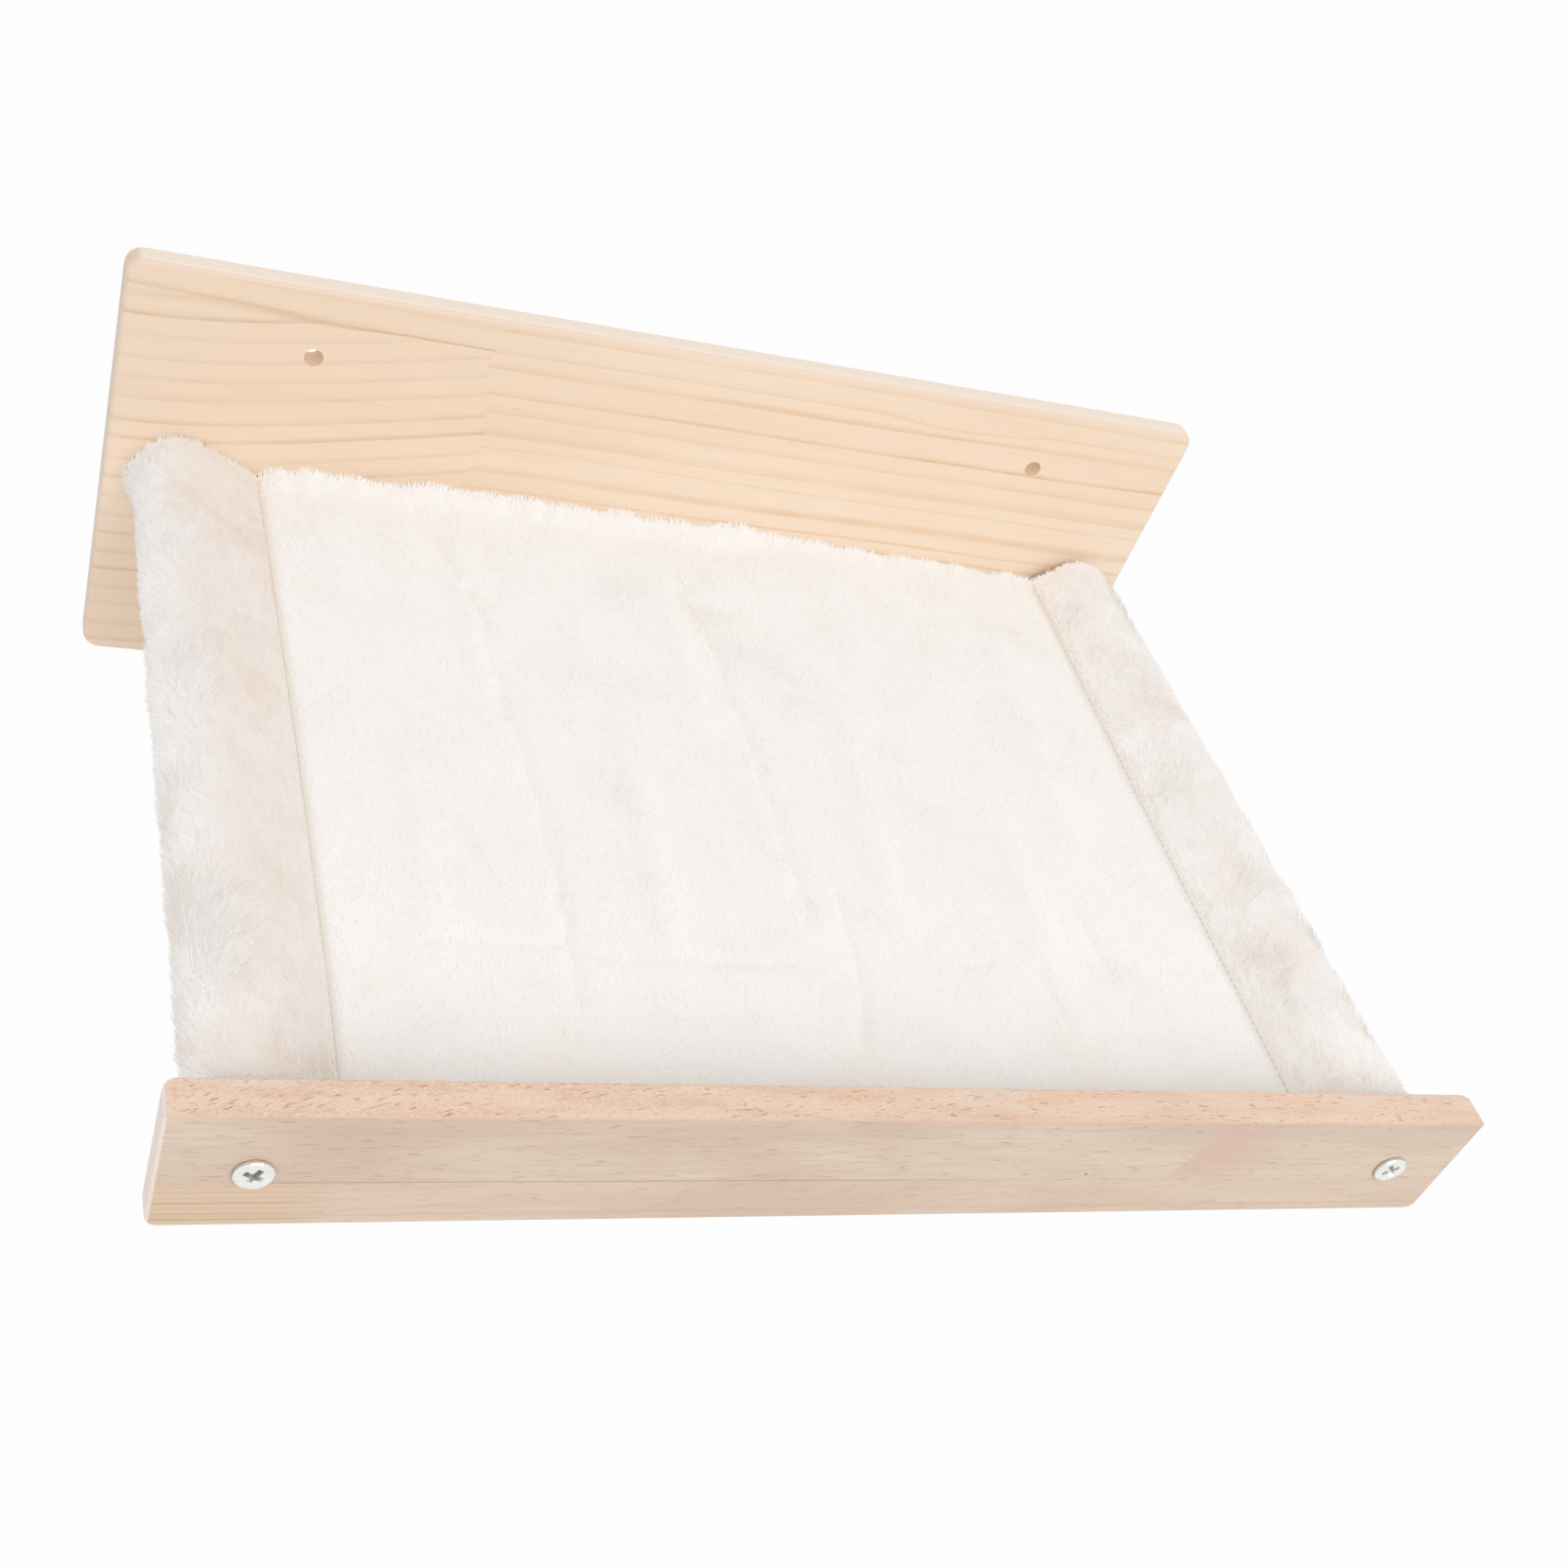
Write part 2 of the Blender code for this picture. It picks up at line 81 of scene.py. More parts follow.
class Nodes:
    """Adds nodes to one tree; each call gives the socket that it puts out."""

    def __init__(self, tree):
        self.tree = tree

    def feed(self, socket, value):
        if isinstance(value, bpy.types.NodeSocket):
            self.tree.links.new(value, socket)
        elif value is not None:
            socket.default_value = value

    def add(self, kind, *values, out=0, **settings):
        made = self.tree.nodes.new("ShaderNode" + kind)
        for name, setting in settings.items():
            setattr(made, name, setting)
        for socket, value in zip(made.inputs, values):
            self.feed(socket, value)
        return made.outputs[out]

    def math(self, operation, *values):
        return self.add("Math", *values, operation=operation)

    def plus(self, first, *others):
        for other in others:
            first = self.math("ADD", first, other)
        return first

    def times(self, first, *others):
        for other in others:
            first = self.math("MULTIPLY", first, other)
        return first

    def minus(self, first, second):
        return self.math("SUBTRACT", first, second)

    def over(self, first, second):
        return self.math("DIVIDE", first, second)

    def times_plus(self, value, factor, added):
        return self.math("MULTIPLY_ADD", value, factor, added)

    def absolute(self, value):
        return self.math("ABSOLUTE", value)

    def away(self, value, place):
        """How far a value is from a place on either side of it."""
        return self.absolute(self.minus(value, place))

    def blend(self, amount, first, second):
        return self.plus(self.times(first, self.minus(1.0, amount)), self.times(second, amount))

    def reach(self, across, up):
        """The length of a way whose two parts are given."""
        return self.math("SQRT", self.plus(self.times(across, across), self.times(up, up)))

    def split(self, vector):
        return self.add("SeparateXYZ", vector).node.outputs

    def join(self, x, y, z):
        return self.add("CombineXYZ", x, y, z)

    def stretch(self, vector, x, y, z):
        return self.add("VectorMath", vector, (x, y, z), operation="MULTIPLY")

    def fade(self, value, start, end, first=0.0, last=1.0):
        """Goes smoothly from first to last as the value goes from start to end."""
        if isinstance(start, (int, float)) and isinstance(end, (int, float)) and start > end:
            start, end, first, last = end, start, last, first
        return self.add("MapRange", value, start, end, first, last, interpolation_type="SMOOTHSTEP")

    def mix(self, amount, first, second, blend="MIX"):
        made = self.tree.nodes.new("ShaderNodeMix")
        made.data_type, made.blend_type = "RGBA", blend
        for place, value in ((0, amount), (6, first), (7, second)):
            self.feed(made.inputs[place], value)
        return made.outputs[2]

    def tint(self, base, amount, red, green, blue):
        return self.mix(amount, base, colour(red, green, blue))

    def named(self, kind, **values):
        """Like add, but the values go to the inputs of those names."""
        made = self.tree.nodes.new("ShaderNode" + kind)
        for name, value in values.items():
            self.feed(made.inputs[name], value)
        return made.outputs[0]

    def place(self):
        return self.add("TexCoord", out=3)

    def noise(self, vector, scale, detail, roughness=0.5, distortion=0.0):
        return self.named("TexNoise", Vector=vector, Scale=scale, Detail=detail, Roughness=roughness,
                          Distortion=distortion)

    def hills(self, vector, x, y, z, *looks):
        """Noise with so many hills to a metre on each axis."""
        return self.noise(self.stretch(vector, x, y, z), 1.0, *looks)

    def wander(self, vector, x, y, z, detail):
        """Like hills, but from -0.5 to 0.5."""
        return self.minus(self.hills(vector, x, y, z, detail), 0.5)

    def group(self, tree, **values):
        made = self.tree.nodes.new("ShaderNodeGroup")
        made.node_tree = tree
        for name, value in values.items():
            self.feed(made.inputs[name.replace("_", " ").capitalize()], value)
        return made.outputs

    def bump(self, height, distance, strength):
        return self.named("Bump", Height=height, Distance=distance, Strength=strength)


SOCKET_KINDS = {"Vector": "Vector", "Root": "Color", "Tip": "Color", "Patch": "Color", "Color": "Color"}


def new_group(name, inputs, outputs):
    """An empty node group; its sockets are plain numbers but for the names in SOCKET_KINDS."""
    tree = bpy.data.node_groups.new(name, "ShaderNodeTree")
    for way, labels in (("INPUT", inputs), ("OUTPUT", outputs)):
        for label in labels:
            kind = "NodeSocket" + SOCKET_KINDS.get(label, "Float")
            tree.interface.new_socket(label, in_out=way, socket_type=kind)
    start, end = tree.nodes.new("NodeGroupInput"), tree.nodes.new("NodeGroupOutput")
    return tree, Nodes(tree), start.outputs, end.inputs


def new_material(name, **settings):
    """A material with one Principled shader, whose plain numbers are set here."""
    material = bpy.data.materials.new(name)
    material.use_nodes = True
    shader = material.node_tree.nodes["Principled BSDF"]
    for label, value in settings.items():
        shader.inputs[label.replace("_", " ")].default_value = value
    return material, Nodes(material.node_tree), shader.inputs


def growth_rings():
    """Late-wood lines of a sawn stave: rings round a heart that runs along X."""
    tree, n, given, result = new_group(
        "Growth rings", ["Vector", "Heart y", "Heart z", "Spacing", "Wander", "Unevenness"], ["Line"])
    _, y, z = n.split(given["Vector"])
    radius = n.reach(n.minus(y, given["Heart y"]), n.minus(z, given["Heart z"]))
    sway = n.wander(given["Vector"], 7, 30, 30, 3.0)
    radius = n.times_plus(sway, given["Wander"], radius)
    widths = n.wander(n.join(radius, 0.0, 0.0), 70, 0, 0, 1.0)
    rings = n.times_plus(widths, given["Unevenness"], n.over(radius, given["Spacing"]))
    part = n.math("FRACT", rings)
    strength = n.add("TexWhiteNoise", None, n.math("FLOOR", rings), noise_dimensions="1D")
    line_start, line_end = 0.45, 0.94  # as shares of a ring
    slow = n.math("POWER", n.fade(part, line_start, line_end), 2.6)
    sharp = n.fade(part, line_end, 0.995, 1.0, 0.0)
    n.feed(result["Line"], n.times(slow, sharp, n.fade(strength, 0.0, 1.0, 0.35, 1.0)))
    return tree


def wood_fibres():
    """Streaks and short pores along the grain."""
    tree, n, given, result = new_group(
        "Wood fibres", ["Vector", "Streak length", "Pore length", "Pore width", "Amount"], ["Streaks", "Pores"])
    x, y, z = n.split(given["Vector"])
    a_metre = 700  # streaks to a metre across the grain
    streaks = n.join(n.over(x, given["Streak length"]), n.times(y, a_metre), n.times(z, a_metre))
    n.feed(result["Streaks"], n.noise(streaks, 1.0, 3.0, 0.6))
    pores = n.join(n.over(x, given["Pore length"]), n.over(y, given["Pore width"]), n.over(z, given["Pore width"]))
    pores = n.noise(pores, 0.5, 1.0)
    edge = n.times_plus(given["Amount"], -0.2, 0.78)
    n.feed(result["Pores"], n.add("MapRange", pores, edge, n.plus(edge, 0.06), 0.0, 1.0))
    return tree


def pile_colour():
    """Colour of a strand: darker at its root as painted shade and paler at its tip, each strand a little different, in
    soft patches; its tone also holds painted light and shade.
    """
    tree, n, given, result = new_group(
        "Pile colour", ["Root", "Tip", "Patch", "Patch amount", "Strand change"], ["Color"])
    place = n.place()
    tone, along, _ = n.split(n.add("UVMap", uv_map="strand"))
    patches = n.times(n.fade(n.noise(place, 34.0, 3.0, 0.55), 0.5, 0.68), given["Patch amount"])
    tip = n.mix(patches, given["Tip"], given["Patch"])
    shade = n.mix(n.fade(along, 0.0, 0.65), given["Root"], tip)
    change = n.times(tone, given["Strand change"])
    # A strand that its tone makes darker, painted shade included, is made warmer as well
    warm = n.math("MINIMUM", change, 0.0)  # a darker strand is a warmer one
    spread = n.plus(change, 1.0)
    spread = n.join(n.times_plus(warm, -0.35, spread), spread, n.times_plus(warm, 0.3, spread))
    n.feed(result["Color"], n.mix(1.0, shade, spread, "MULTIPLY"))
    return tree


def from_dowel(n, x, z):
    """How far a point is from the axis of the nearer dowel."""
    return n.reach(n.minus(n.absolute(x), DOWEL_X), n.minus(z, DOWEL_Z))


def turned_plate():
    """Fine rings that the lathe leaves on a plated head or insert at a dowel's end."""
    tree, n, given, result = new_group("Turned plate", ["Pitch"], ["Rings", "Smudges"])
    place = n.place()
    x, _, z = n.split(place)
    turns = n.times(n.over(from_dowel(n, x, z), given["Pitch"]), 2 * math.pi)
    n.feed(result["Rings"], n.math("SINE", turns))
    n.feed(result["Smudges"], n.noise(place, 420.0, 3.0))
    return tree


def feed_sanded(n, shader, wood, fibres):
    """The look of a sanded part: its colour, with the gloss and the relief of its fibres."""
    n.feed(shader["Base Color"], wood)
    n.feed(shader["Roughness"], n.fade(fibres["Streaks"], 0.3, 0.7, 0.5, 0.62))
    height = n.minus(n.times(fibres["Streaks"], 0.4), n.times(fibres["Pores"], 0.6))
    n.feed(shader["Normal"], n.bump(height, 0.00012, 0.6))


RINGS, FIBRES, PILE, PLATE = growth_rings(), wood_fibres(), pile_colour(), turned_plate()


def pine():
    """Two staves of pine, glued end to end near a third of the board's length from its left end."""
    material, n, shader = new_material("Sanded pine, wall board", Coat_Weight=0.05, Coat_Roughness=0.35)
    place = n.place()
    x, _, z = n.split(place)
    # Left stave: lines that rise to the right and end on one strong line, and plain lines above it
    curve_length, curve_height = 0.055, 0.014
    from_end = n.times(n.plus(x, BOARD_HALF), 1 / curve_length)
    rise = n.times(n.minus(n.math("SQRT", n.times_plus(from_end, from_end, 1.0)), 1.0), curve_height)
    rising = n.group(RINGS, vector=n.join(x, 0.0, n.minus(z, rise)), heart_z=0.3, spacing=0.00775, wander=0.0025,
                     unevenness=0.45)
    slant = 0.031
    falling = n.join(x, 0.0, n.times_plus(n.plus(x, 0.1), slant, z))
    plain = n.group(RINGS, vector=falling, heart_z=0.3, spacing=0.0082, wander=0.002, unevenness=0.3)
    line_z, wave_height = 0.0132, 0.0014
    hump_x, hump_reach, hump_height = -0.168, 0.04, 0.0018
    hump = n.fade(n.away(x, hump_x), hump_reach, 0.0, 0.0, hump_height)
    wave = n.times(n.wander(place, 22, 0, 0, 2.0), wave_height)
    over_line = n.minus(z, n.plus(wave, line_z, hump))
    left = n.blend(n.fade(over_line, -0.0003, 0.0003), rising["Line"], plain["Line"])
    wide = n.fade(x, -0.17, -0.1, 0.0027, 0.00045)
    strong = n.fade(n.over(n.absolute(over_line), wide), 0.15, 1.0, 1.0, 0.0)
    strong = n.times(strong, n.fade(x, -0.195, -0.1, 0.15, 0.75))
    # Right stave: uneven lines along it, with one narrow eye
    eye_x, eye_z, eye_bend = 0.105, 0.0125, 0.0035
    eye = n.times(n.fade(n.away(x, eye_x), 0.04, 0.0), n.fade(n.away(z, eye_z), 0.005, 0.0))
    bent = n.join(x, 0.0, n.times_plus(eye, eye_bend, z))
    long_lines = n.group(RINGS, vector=bent, heart_z=0.2, spacing=0.0078, wander=0.005, unevenness=3.0)
    # The joint between them zigzags over the board's height
    joint_x, zigzag_height, zigzag_slope = -0.0745, 0.028, -0.2
    zigzag = n.math("PINGPONG", n.plus(z, 0.021), zigzag_height)
    joint = n.times_plus(zigzag, zigzag_slope, joint_x)
    past_joint = n.fade(n.minus(x, joint), -0.0004, 0.0004)
    line = n.blend(past_joint, left, long_lines["Line"])
    fibres = n.group(FIBRES, vector=place, streak_length=0.09, pore_length=0.005, pore_width=0.0003, amount=0.35)
    wood = n.mix(n.fade(x, -0.13, -0.02), colour(240, 218, 195), colour(241, 222, 200))
    broad = n.hills(place, 7, 34, 34, 2.0)
    wood = n.tint(wood, n.fade(broad, 0.38, 0.68, 0.0, 0.6), 239, 212, 186)
    wood = n.tint(wood, n.fade(fibres["Streaks"], 0.35, 0.75, 0.0, 0.35), 234, 207, 180)
    faint = n.fade(n.hills(place, 30, 60, 60, 2.0), 0.3, 0.7, 0.35, 0.75)
    faint = n.times(faint, n.fade(x, -0.1, 0.12, 1.0, 1.25))
    line_colour = n.mix(past_joint, colour(216, 180, 139), colour(222, 181, 137))
    wood = n.mix(n.math("MINIMUM", n.times(line, faint), 1.0), wood, line_colour)
    wood = n.tint(wood, n.times(strong, n.minus(1.0, past_joint)), 211, 174, 134)
    wood = n.tint(wood, n.times(fibres["Pores"], 0.2), 204, 162, 124)
    glue = n.fade(n.away(x, joint), 0.0004, 0.0001, 0.0, 0.05)
    wood = n.tint(wood, glue, 214, 184, 152)
    # Paler to the right; painted light at the lower left corner, where the sling shades the board; painted shade just
    # below the top, which dulls the highlight on the rounded top edge
    corner = n.times(n.fade(x, -0.13, -0.165), n.fade(z, -0.02, -0.06, 0.0, 0.1))
    paler = n.plus(n.fade(x, -0.1, 0.05, 0.0, 0.035), corner, 1.0)
    paler = n.minus(paler, n.fade(z, BOARD_TOP - 0.0030, BOARD_TOP - 0.0016, 0.0, 0.04))
    wood = n.mix(1.0, wood, n.join(paler, paler, paler), "MULTIPLY")
    # Painted light and sheen on the rounded top edge and on the top, painted shade on the ends, and painted light on
    # the walls and rims of the screw holes
    wood = n.tint(wood, n.fade(z, BOARD_TOP - 0.0023, BOARD_TOP - 0.0012, 0.0, 0.8), 238, 216, 198)
    wood = n.tint(wood, n.fade(z, BOARD_TOP - 0.0005, BOARD_TOP - 0.0001), 250, 233, 216)
    # painted shade: greyer on the end faces, which lie in shade
    ends = n.fade(n.absolute(x), BOARD_HALF - 0.0012, BOARD_HALF - 0.0003, 0.0, 0.6)
    wood = n.tint(wood, ends, 234, 218, 206)
    # painted light on the walls and rims of the screw holes, which lie in shade
    hole = n.reach(n.minus(n.absolute(x), SCREW_HOLE_X), z)
    wood = n.tint(wood, n.fade(hole, SCREW_HOLE_RADIUS + 0.0003, SCREW_HOLE_RADIUS, 0.0, 0.8), 250, 226, 204)
    feed_sanded(n, shader, wood, fibres)
    return material


def beech():
    """The rail: flecked beech on top, straight fine grain on its face, and a narrow strip glued on below."""
    material, n, shader = new_material("Sanded beech, front rail", Coat_Weight=0.05, Coat_Roughness=0.35)
    place = n.place()
    x, y, z = n.split(place)
    fibres = n.group(FIBRES, vector=place, streak_length=0.03, pore_length=0.0035, pore_width=0.00035, amount=0.75)
    broad = n.hills(place, 11, 26, 26, 2.0)
    face = n.mix(n.fade(broad, 0.4, 0.66), colour(222, 202, 183), colour(211, 186, 168))
    face = n.tint(face, n.fade(fibres["Streaks"], 0.35, 0.7, 0.0, 0.4), 203, 179, 160)
    face = n.tint(face, n.times(fibres["Pores"], 0.44), 170, 142, 122)
    # The glued strip, and the straight-grained end of it
    glue_z, glue_slope = -0.0539, -0.0035
    below = n.minus(n.times_plus(x, glue_slope, glue_z), z)
    face = n.tint(face, n.fade(below, -0.0001, 0.0001, 0.0, 0.3), 216, 192, 168)
    end_strip = n.times(n.fade(below, 0.0, 0.0018), n.fade(n.times_plus(z, 0.12, x), -0.158, -0.178))
    straight = n.group(RINGS, vector=place, heart_y=-0.3, heart_z=0.2, spacing=0.0023, wander=0.0012, unevenness=1.0)
    straight = n.mix(n.times(straight["Line"], 0.85), colour(220, 194, 167), colour(186, 146, 113))
    face = n.mix(end_strip, face, straight)
    glue = n.times(n.fade(n.absolute(below), 0.0005, 0.0001), n.fade(x, 0.09, -0.05, 0.1, 0.65),
                   n.fade(x, -0.178, -0.168, 0.1, 1.0))
    face = n.tint(face, glue, 186, 146, 130)
    low_line_z = -0.0672
    low_line = n.fade(n.away(z, low_line_z), 0.0006, 0.0001, 0.0, 0.35)
    face = n.tint(face, low_line, 206, 166, 140)
    # A pinker patch near the right bolt, and one dark speck
    patch_x, patch_z, patch_slant = 0.095, -0.053, 0.35
    from_left = n.minus(x, n.times_plus(n.minus(z, patch_z), patch_slant, patch_x))
    patch = n.times(n.fade(from_left, -0.0004, 0.0004), n.fade(x, 0.128, 0.108), n.fade(z, -0.0535, -0.0525),
                    n.fade(z, -0.027, -0.034, 0.0, 0.6))
    face = n.tint(face, patch, 214, 180, 164)
    speck = n.add("VectorMath", n.join(x, 0.0, z), (0.0654, 0.0, -0.0517), out=1, operation="DISTANCE")
    face = n.tint(face, n.fade(speck, 0.0007, 0.0003, 0.0, 0.8), 146, 104, 82)
    # The top: pinkish, with short flecks that turn from one end to the other, and small curls
    bend, lean = -0.82, 0.09
    turned = n.join(x, n.minus(y, n.times_plus(n.times(x, x), bend, n.times(x, lean))), 0.0)
    flecks = n.fade(n.hills(turned, 225, 1500, 0, 1.0), 0.63, 0.69)
    clusters = n.fade(n.hills(place, 55, 150, 0, 1.0), 0.32, 0.5, 0.0, 0.7)
    curls = n.hills(place, 420, 640, 0, 2.0, 0.5, 2.8)
    curled = n.fade(x, 0.0, -0.12, 0.6, 1.0)
    grain = n.hills(place, 28, 210, 0, 3.0)
    top = n.mix(n.fade(grain, 0.35, 0.68), colour(239, 212, 190), colour(232, 196, 169))
    for start, end, tint in ((0.5, 0.62, (247, 222, 201)), (0.44, 0.32, (219, 176, 145))):
        top = n.tint(top, n.times(n.fade(curls, start, end, 0.0, 0.6), curled), *tint)
    top = n.tint(top, n.fade(x, 0.0, 0.15, 0.0, 0.3), 244, 214, 192)
    top = n.tint(top, n.times(flecks, clusters), 180, 128, 95)
    wood = n.mix(n.fade(z, RAIL_TOP - 0.0008, RAIL_TOP - 0.0002), face, top)
    # Pale end grain on the ends, lightened further as painted light where they lie in shade; a painted highlight along
    # the front vertical edges at the ends; painted shade along the front top edge, in the brownish tone of that edge,
    # which dulls its highlight
    front_edge = n.fade(y, RAIL_FRONT + 0.0009, RAIL_FRONT + 0.0002)
    top_edge = n.fade(z, RAIL_TOP - 0.0010, RAIL_TOP - 0.0004)
    ends = n.fade(n.absolute(x), BOARD_HALF - 0.0014, BOARD_HALF - 0.0003)
    wood = n.tint(wood, ends, 253, 239, 231)
    wood = n.tint(wood, n.times(front_edge, ends, 0.5), 248, 230, 213)
    wood = n.tint(wood, n.times(front_edge, top_edge, 0.6), 222, 184, 156)
    feed_sanded(n, shader, wood, fibres)
    return material


def birch():
    material, n, shader = new_material("Turned birch, dowels", Roughness=0.6)
    turned = n.add("Mapping", n.place())
    turned.node.inputs["Rotation"].default_value = (0.0, 0.0, math.radians(90))
    fibres = n.group(FIBRES, vector=turned, streak_length=0.05, pore_length=0.004, pore_width=0.0003, amount=0.5)
    wood = n.mix(n.fade(fibres["Streaks"], 0.3, 0.75), colour(234, 212, 180), colour(216, 184, 146))
    n.feed(shader["Base Color"], n.mix(n.times(fibres["Pores"], 0.4), wood, colour(176, 136, 98)))
    n.feed(shader["Normal"], n.bump(fibres["Streaks"], 0.0001, 0.5))
    return material


def nickel(name, face, inward):
    """Bright plate on a flat head whose face is at that y; down in the cross recess it is duller, and darker as
    painted shade.
    """
    material, n, shader = new_material(name, Metallic=1.0)
    marks = n.group(PLATE, pitch=0.00035)
    x, y, z = n.split(n.place())
    depth = n.times(n.minus(y, face), inward)
    recess = n.times(n.fade(depth, 0.00008, 0.0006), n.fade(from_dowel(n, x, z), 0.0042, 0.0036))
    plate = n.mix(n.fade(marks["Smudges"], 0.4, 0.75, 0.0, 0.5), colour(239, 240, 237), colour(222, 223, 219))
    # painted shade in the cross recess
    n.feed(shader["Base Color"], n.mix(recess, plate, colour(208, 209, 205)))
    shine = n.fade(marks["Smudges"], 0.35, 0.7, 0.12, 0.24)
    n.feed(shader["Roughness"], n.times_plus(recess, 0.25, shine))
    n.feed(shader["Normal"], n.bump(marks["Rings"], 0.00001, 0.5))
    return material


def zinc():
    material, n, shader = new_material("Zinc plate, inserts", Metallic=1.0)
    marks = n.group(PLATE, pitch=0.0005)
    plate = n.mix(n.fade(marks["Smudges"], 0.35, 0.7), colour(196, 198, 196), colour(166, 168, 164))
    n.feed(shader["Base Color"], plate)
    n.feed(shader["Roughness"], n.fade(marks["Smudges"], 0.35, 0.7, 0.28, 0.45))
    n.feed(shader["Normal"], n.bump(marks["Rings"], 0.00001, 0.4))
    return material


def pile(name, **looks):
    material, n, shader = new_material(name, Roughness=0.9, Sheen_Weight=0.25, Sheen_Roughness=0.5,
                                       Specular_IOR_Level=0.2)
    n.feed(shader["Base Color"], n.group(PILE, **looks)[0])
    return material


def plush_ground():
    """The woven ground that the pile stands in."""
    material, n, shader = new_material("Plush ground", Roughness=0.95, Sheen_Weight=0.2)
    place = n.place()
    across = n.split(n.add("UVMap", uv_map="flat"))[0]
    from_seam = n.away(n.absolute(across), SEAM_X)
    weave = n.fade(n.noise(place, 900.0, 3.0), 0.35, 0.7)
    ground = n.mix(weave, colour(248, 244, 239), colour(243, 237, 230))
    # Beige along the seams: the stitching and backing that show there, with painted shade of the groove
    seam = n.mix(n.fade(across, -0.01, 0.01), colour(244, 236, 225), colour(247, 241, 232))
    n.feed(shader["Base Color"], n.mix(n.fade(from_seam, 0.0024, 0.0010), ground, seam))
    n.feed(shader["Normal"], n.bump(n.noise(place, 1400.0, 2.0), 0.0003, 0.6))
    return material


def knit_backing():
    """Rows of knitted loops on the cloth's inner side."""
    material, n, shader = new_material("Knit backing", Roughness=0.95, Sheen_Weight=0.2)
    across, along, _ = n.split(n.add("UVMap", uv_map="flat"))
    loop_width, loop_height = 0.0011, 0.0009
    wales = n.math("SINE", n.times(across, 2 * math.pi / loop_width))
    lean = n.times(n.absolute(n.math("SINE", n.times(across, math.pi / loop_width))), 2.4)
    courses = n.math("SINE", n.times_plus(along, 2 * math.pi / loop_height, lean))
    loops = n.times_plus(courses, 0.5, wales)
    wide = n.noise(n.place(), 60.0, 3.0)
    knit = n.mix(n.fade(loops, -1.2, 1.0), colour(214, 207, 197), colour(238, 234, 227))
    n.feed(shader["Base Color"], n.mix(n.fade(wide, 0.4, 0.7, 0.0, 0.3), knit, colour(226, 218, 206)))
    n.feed(shader["Normal"], n.bump(loops, 0.00018, 0.7))
    return material


def thread():
    material, n, shader = new_material("Seam thread", Roughness=0.8, Sheen_Weight=0.2)
    ply = 0.0005
    way = n.add("VectorMath", n.place(), (1.0, 1.6, 1.0), out=1, operation="DOT_PRODUCT")
    twist = n.math("SINE", n.times(way, 2 * math.pi / ply))
    n.feed(shader["Base Color"], n.mix(n.fade(twist, -1.0, 1.0), colour(236, 226, 213), colour(244, 237, 227)))
    n.feed(shader["Normal"], n.bump(twist, 0.00006, 0.6))
    return material


def soft_noise(x, y, cell, seed):
    """Smooth random numbers from -1 to 1 over a plane, about one hill to a cell."""
    size = 128
    table = np.random.default_rng(seed).uniform(-1, 1, (size, size))
    across, along = x / cell + size / 2, y / cell + size / 2
    i, j = np.floor(across).astype(int), np.floor(along).astype(int)
    u, v = across - i, along - j
    u, v = u * u * (3 - 2 * u), v * v * (3 - 2 * v)
    def corner(a, b):
        return table[(i + a) % size, (j + b) % size]
    return (1 - v) * ((1 - u) * corner(0, 0) + u * corner(1, 0)) + v * ((1 - u) * corner(0, 1) + u * corner(1, 1))


def line_noise(x, cell, seed):
    return soft_noise(x, np.zeros_like(x), cell, seed)


def smooth(value):
    value = np.clip(value, 0, 1)
    return value * value * (3 - 2 * value)


def bell(way, width):
    """1 in the middle, and almost 0 two widths away from it."""
    return np.exp(-((way / width) ** 2))


def unit(vectors):
    return vectors / np.linalg.norm(vectors, axis=1)[:, None]


def read_off(table, place):
    """The number at a place of a table, whose rows are (place, number)."""
    return np.interp(place, *np.array(table).T)


# Faint lengthwise folds of the panel: across and deep as shares of half its width and depth, length share, turn.
FOLDS = ((-0.56, 0.55, 0.50, 3), (-0.06, 0.50, 0.42, 4), (0.24, -0.10, 0.46, 5), (-0.30, -0.28, 0.52, 4),
         (-0.78, -0.30, 0.44, 2), (0.55, -0.45, 0.50, 6), (0.78, 0.35, 0.48, 4))
FOLD_HEIGHT, FOLD_WIDTH = 0.0011, 0.0065
# Sharper creases in the pile, as the points that they follow (x, y).
CREASES = (((-0.0835, -0.062), (-0.0815, -0.099), (-0.0788, -0.135), (-0.0772, -0.180), (-0.0788, -0.212),
            (-0.0806, -0.250)),
           ((-0.0035, -0.050), (0.0027, -0.078), (0.0038, -0.135), (0.0045, -0.182), (0.0018, -0.214)),
           ((0.0148, -0.201), (0.0152, -0.213), (0.0125, -0.240), (0.0046, -0.265)),
           ((-0.1214, -0.230), (-0.0810, -0.2285), (-0.0720, -0.2335), (-0.0093, -0.2329), (0.0134, -0.243)),
           ((-0.1154, -0.164), (-0.1072, -0.1775), (-0.1037, -0.187), (-0.0992, -0.200)),
           ((0.0776, -0.232), (0.0786, -0.256)), ((0.101, -0.201), (0.103, -0.230)),
           ((-0.1405, -0.020), (-0.1330, -0.045)), ((-0.0960, -0.020), (-0.0880, -0.046)))
CREASE_DEPTH, CREASE_WIDTH, PILE_CREASE_WIDTH = 0.0006, 0.0027, 0.0013
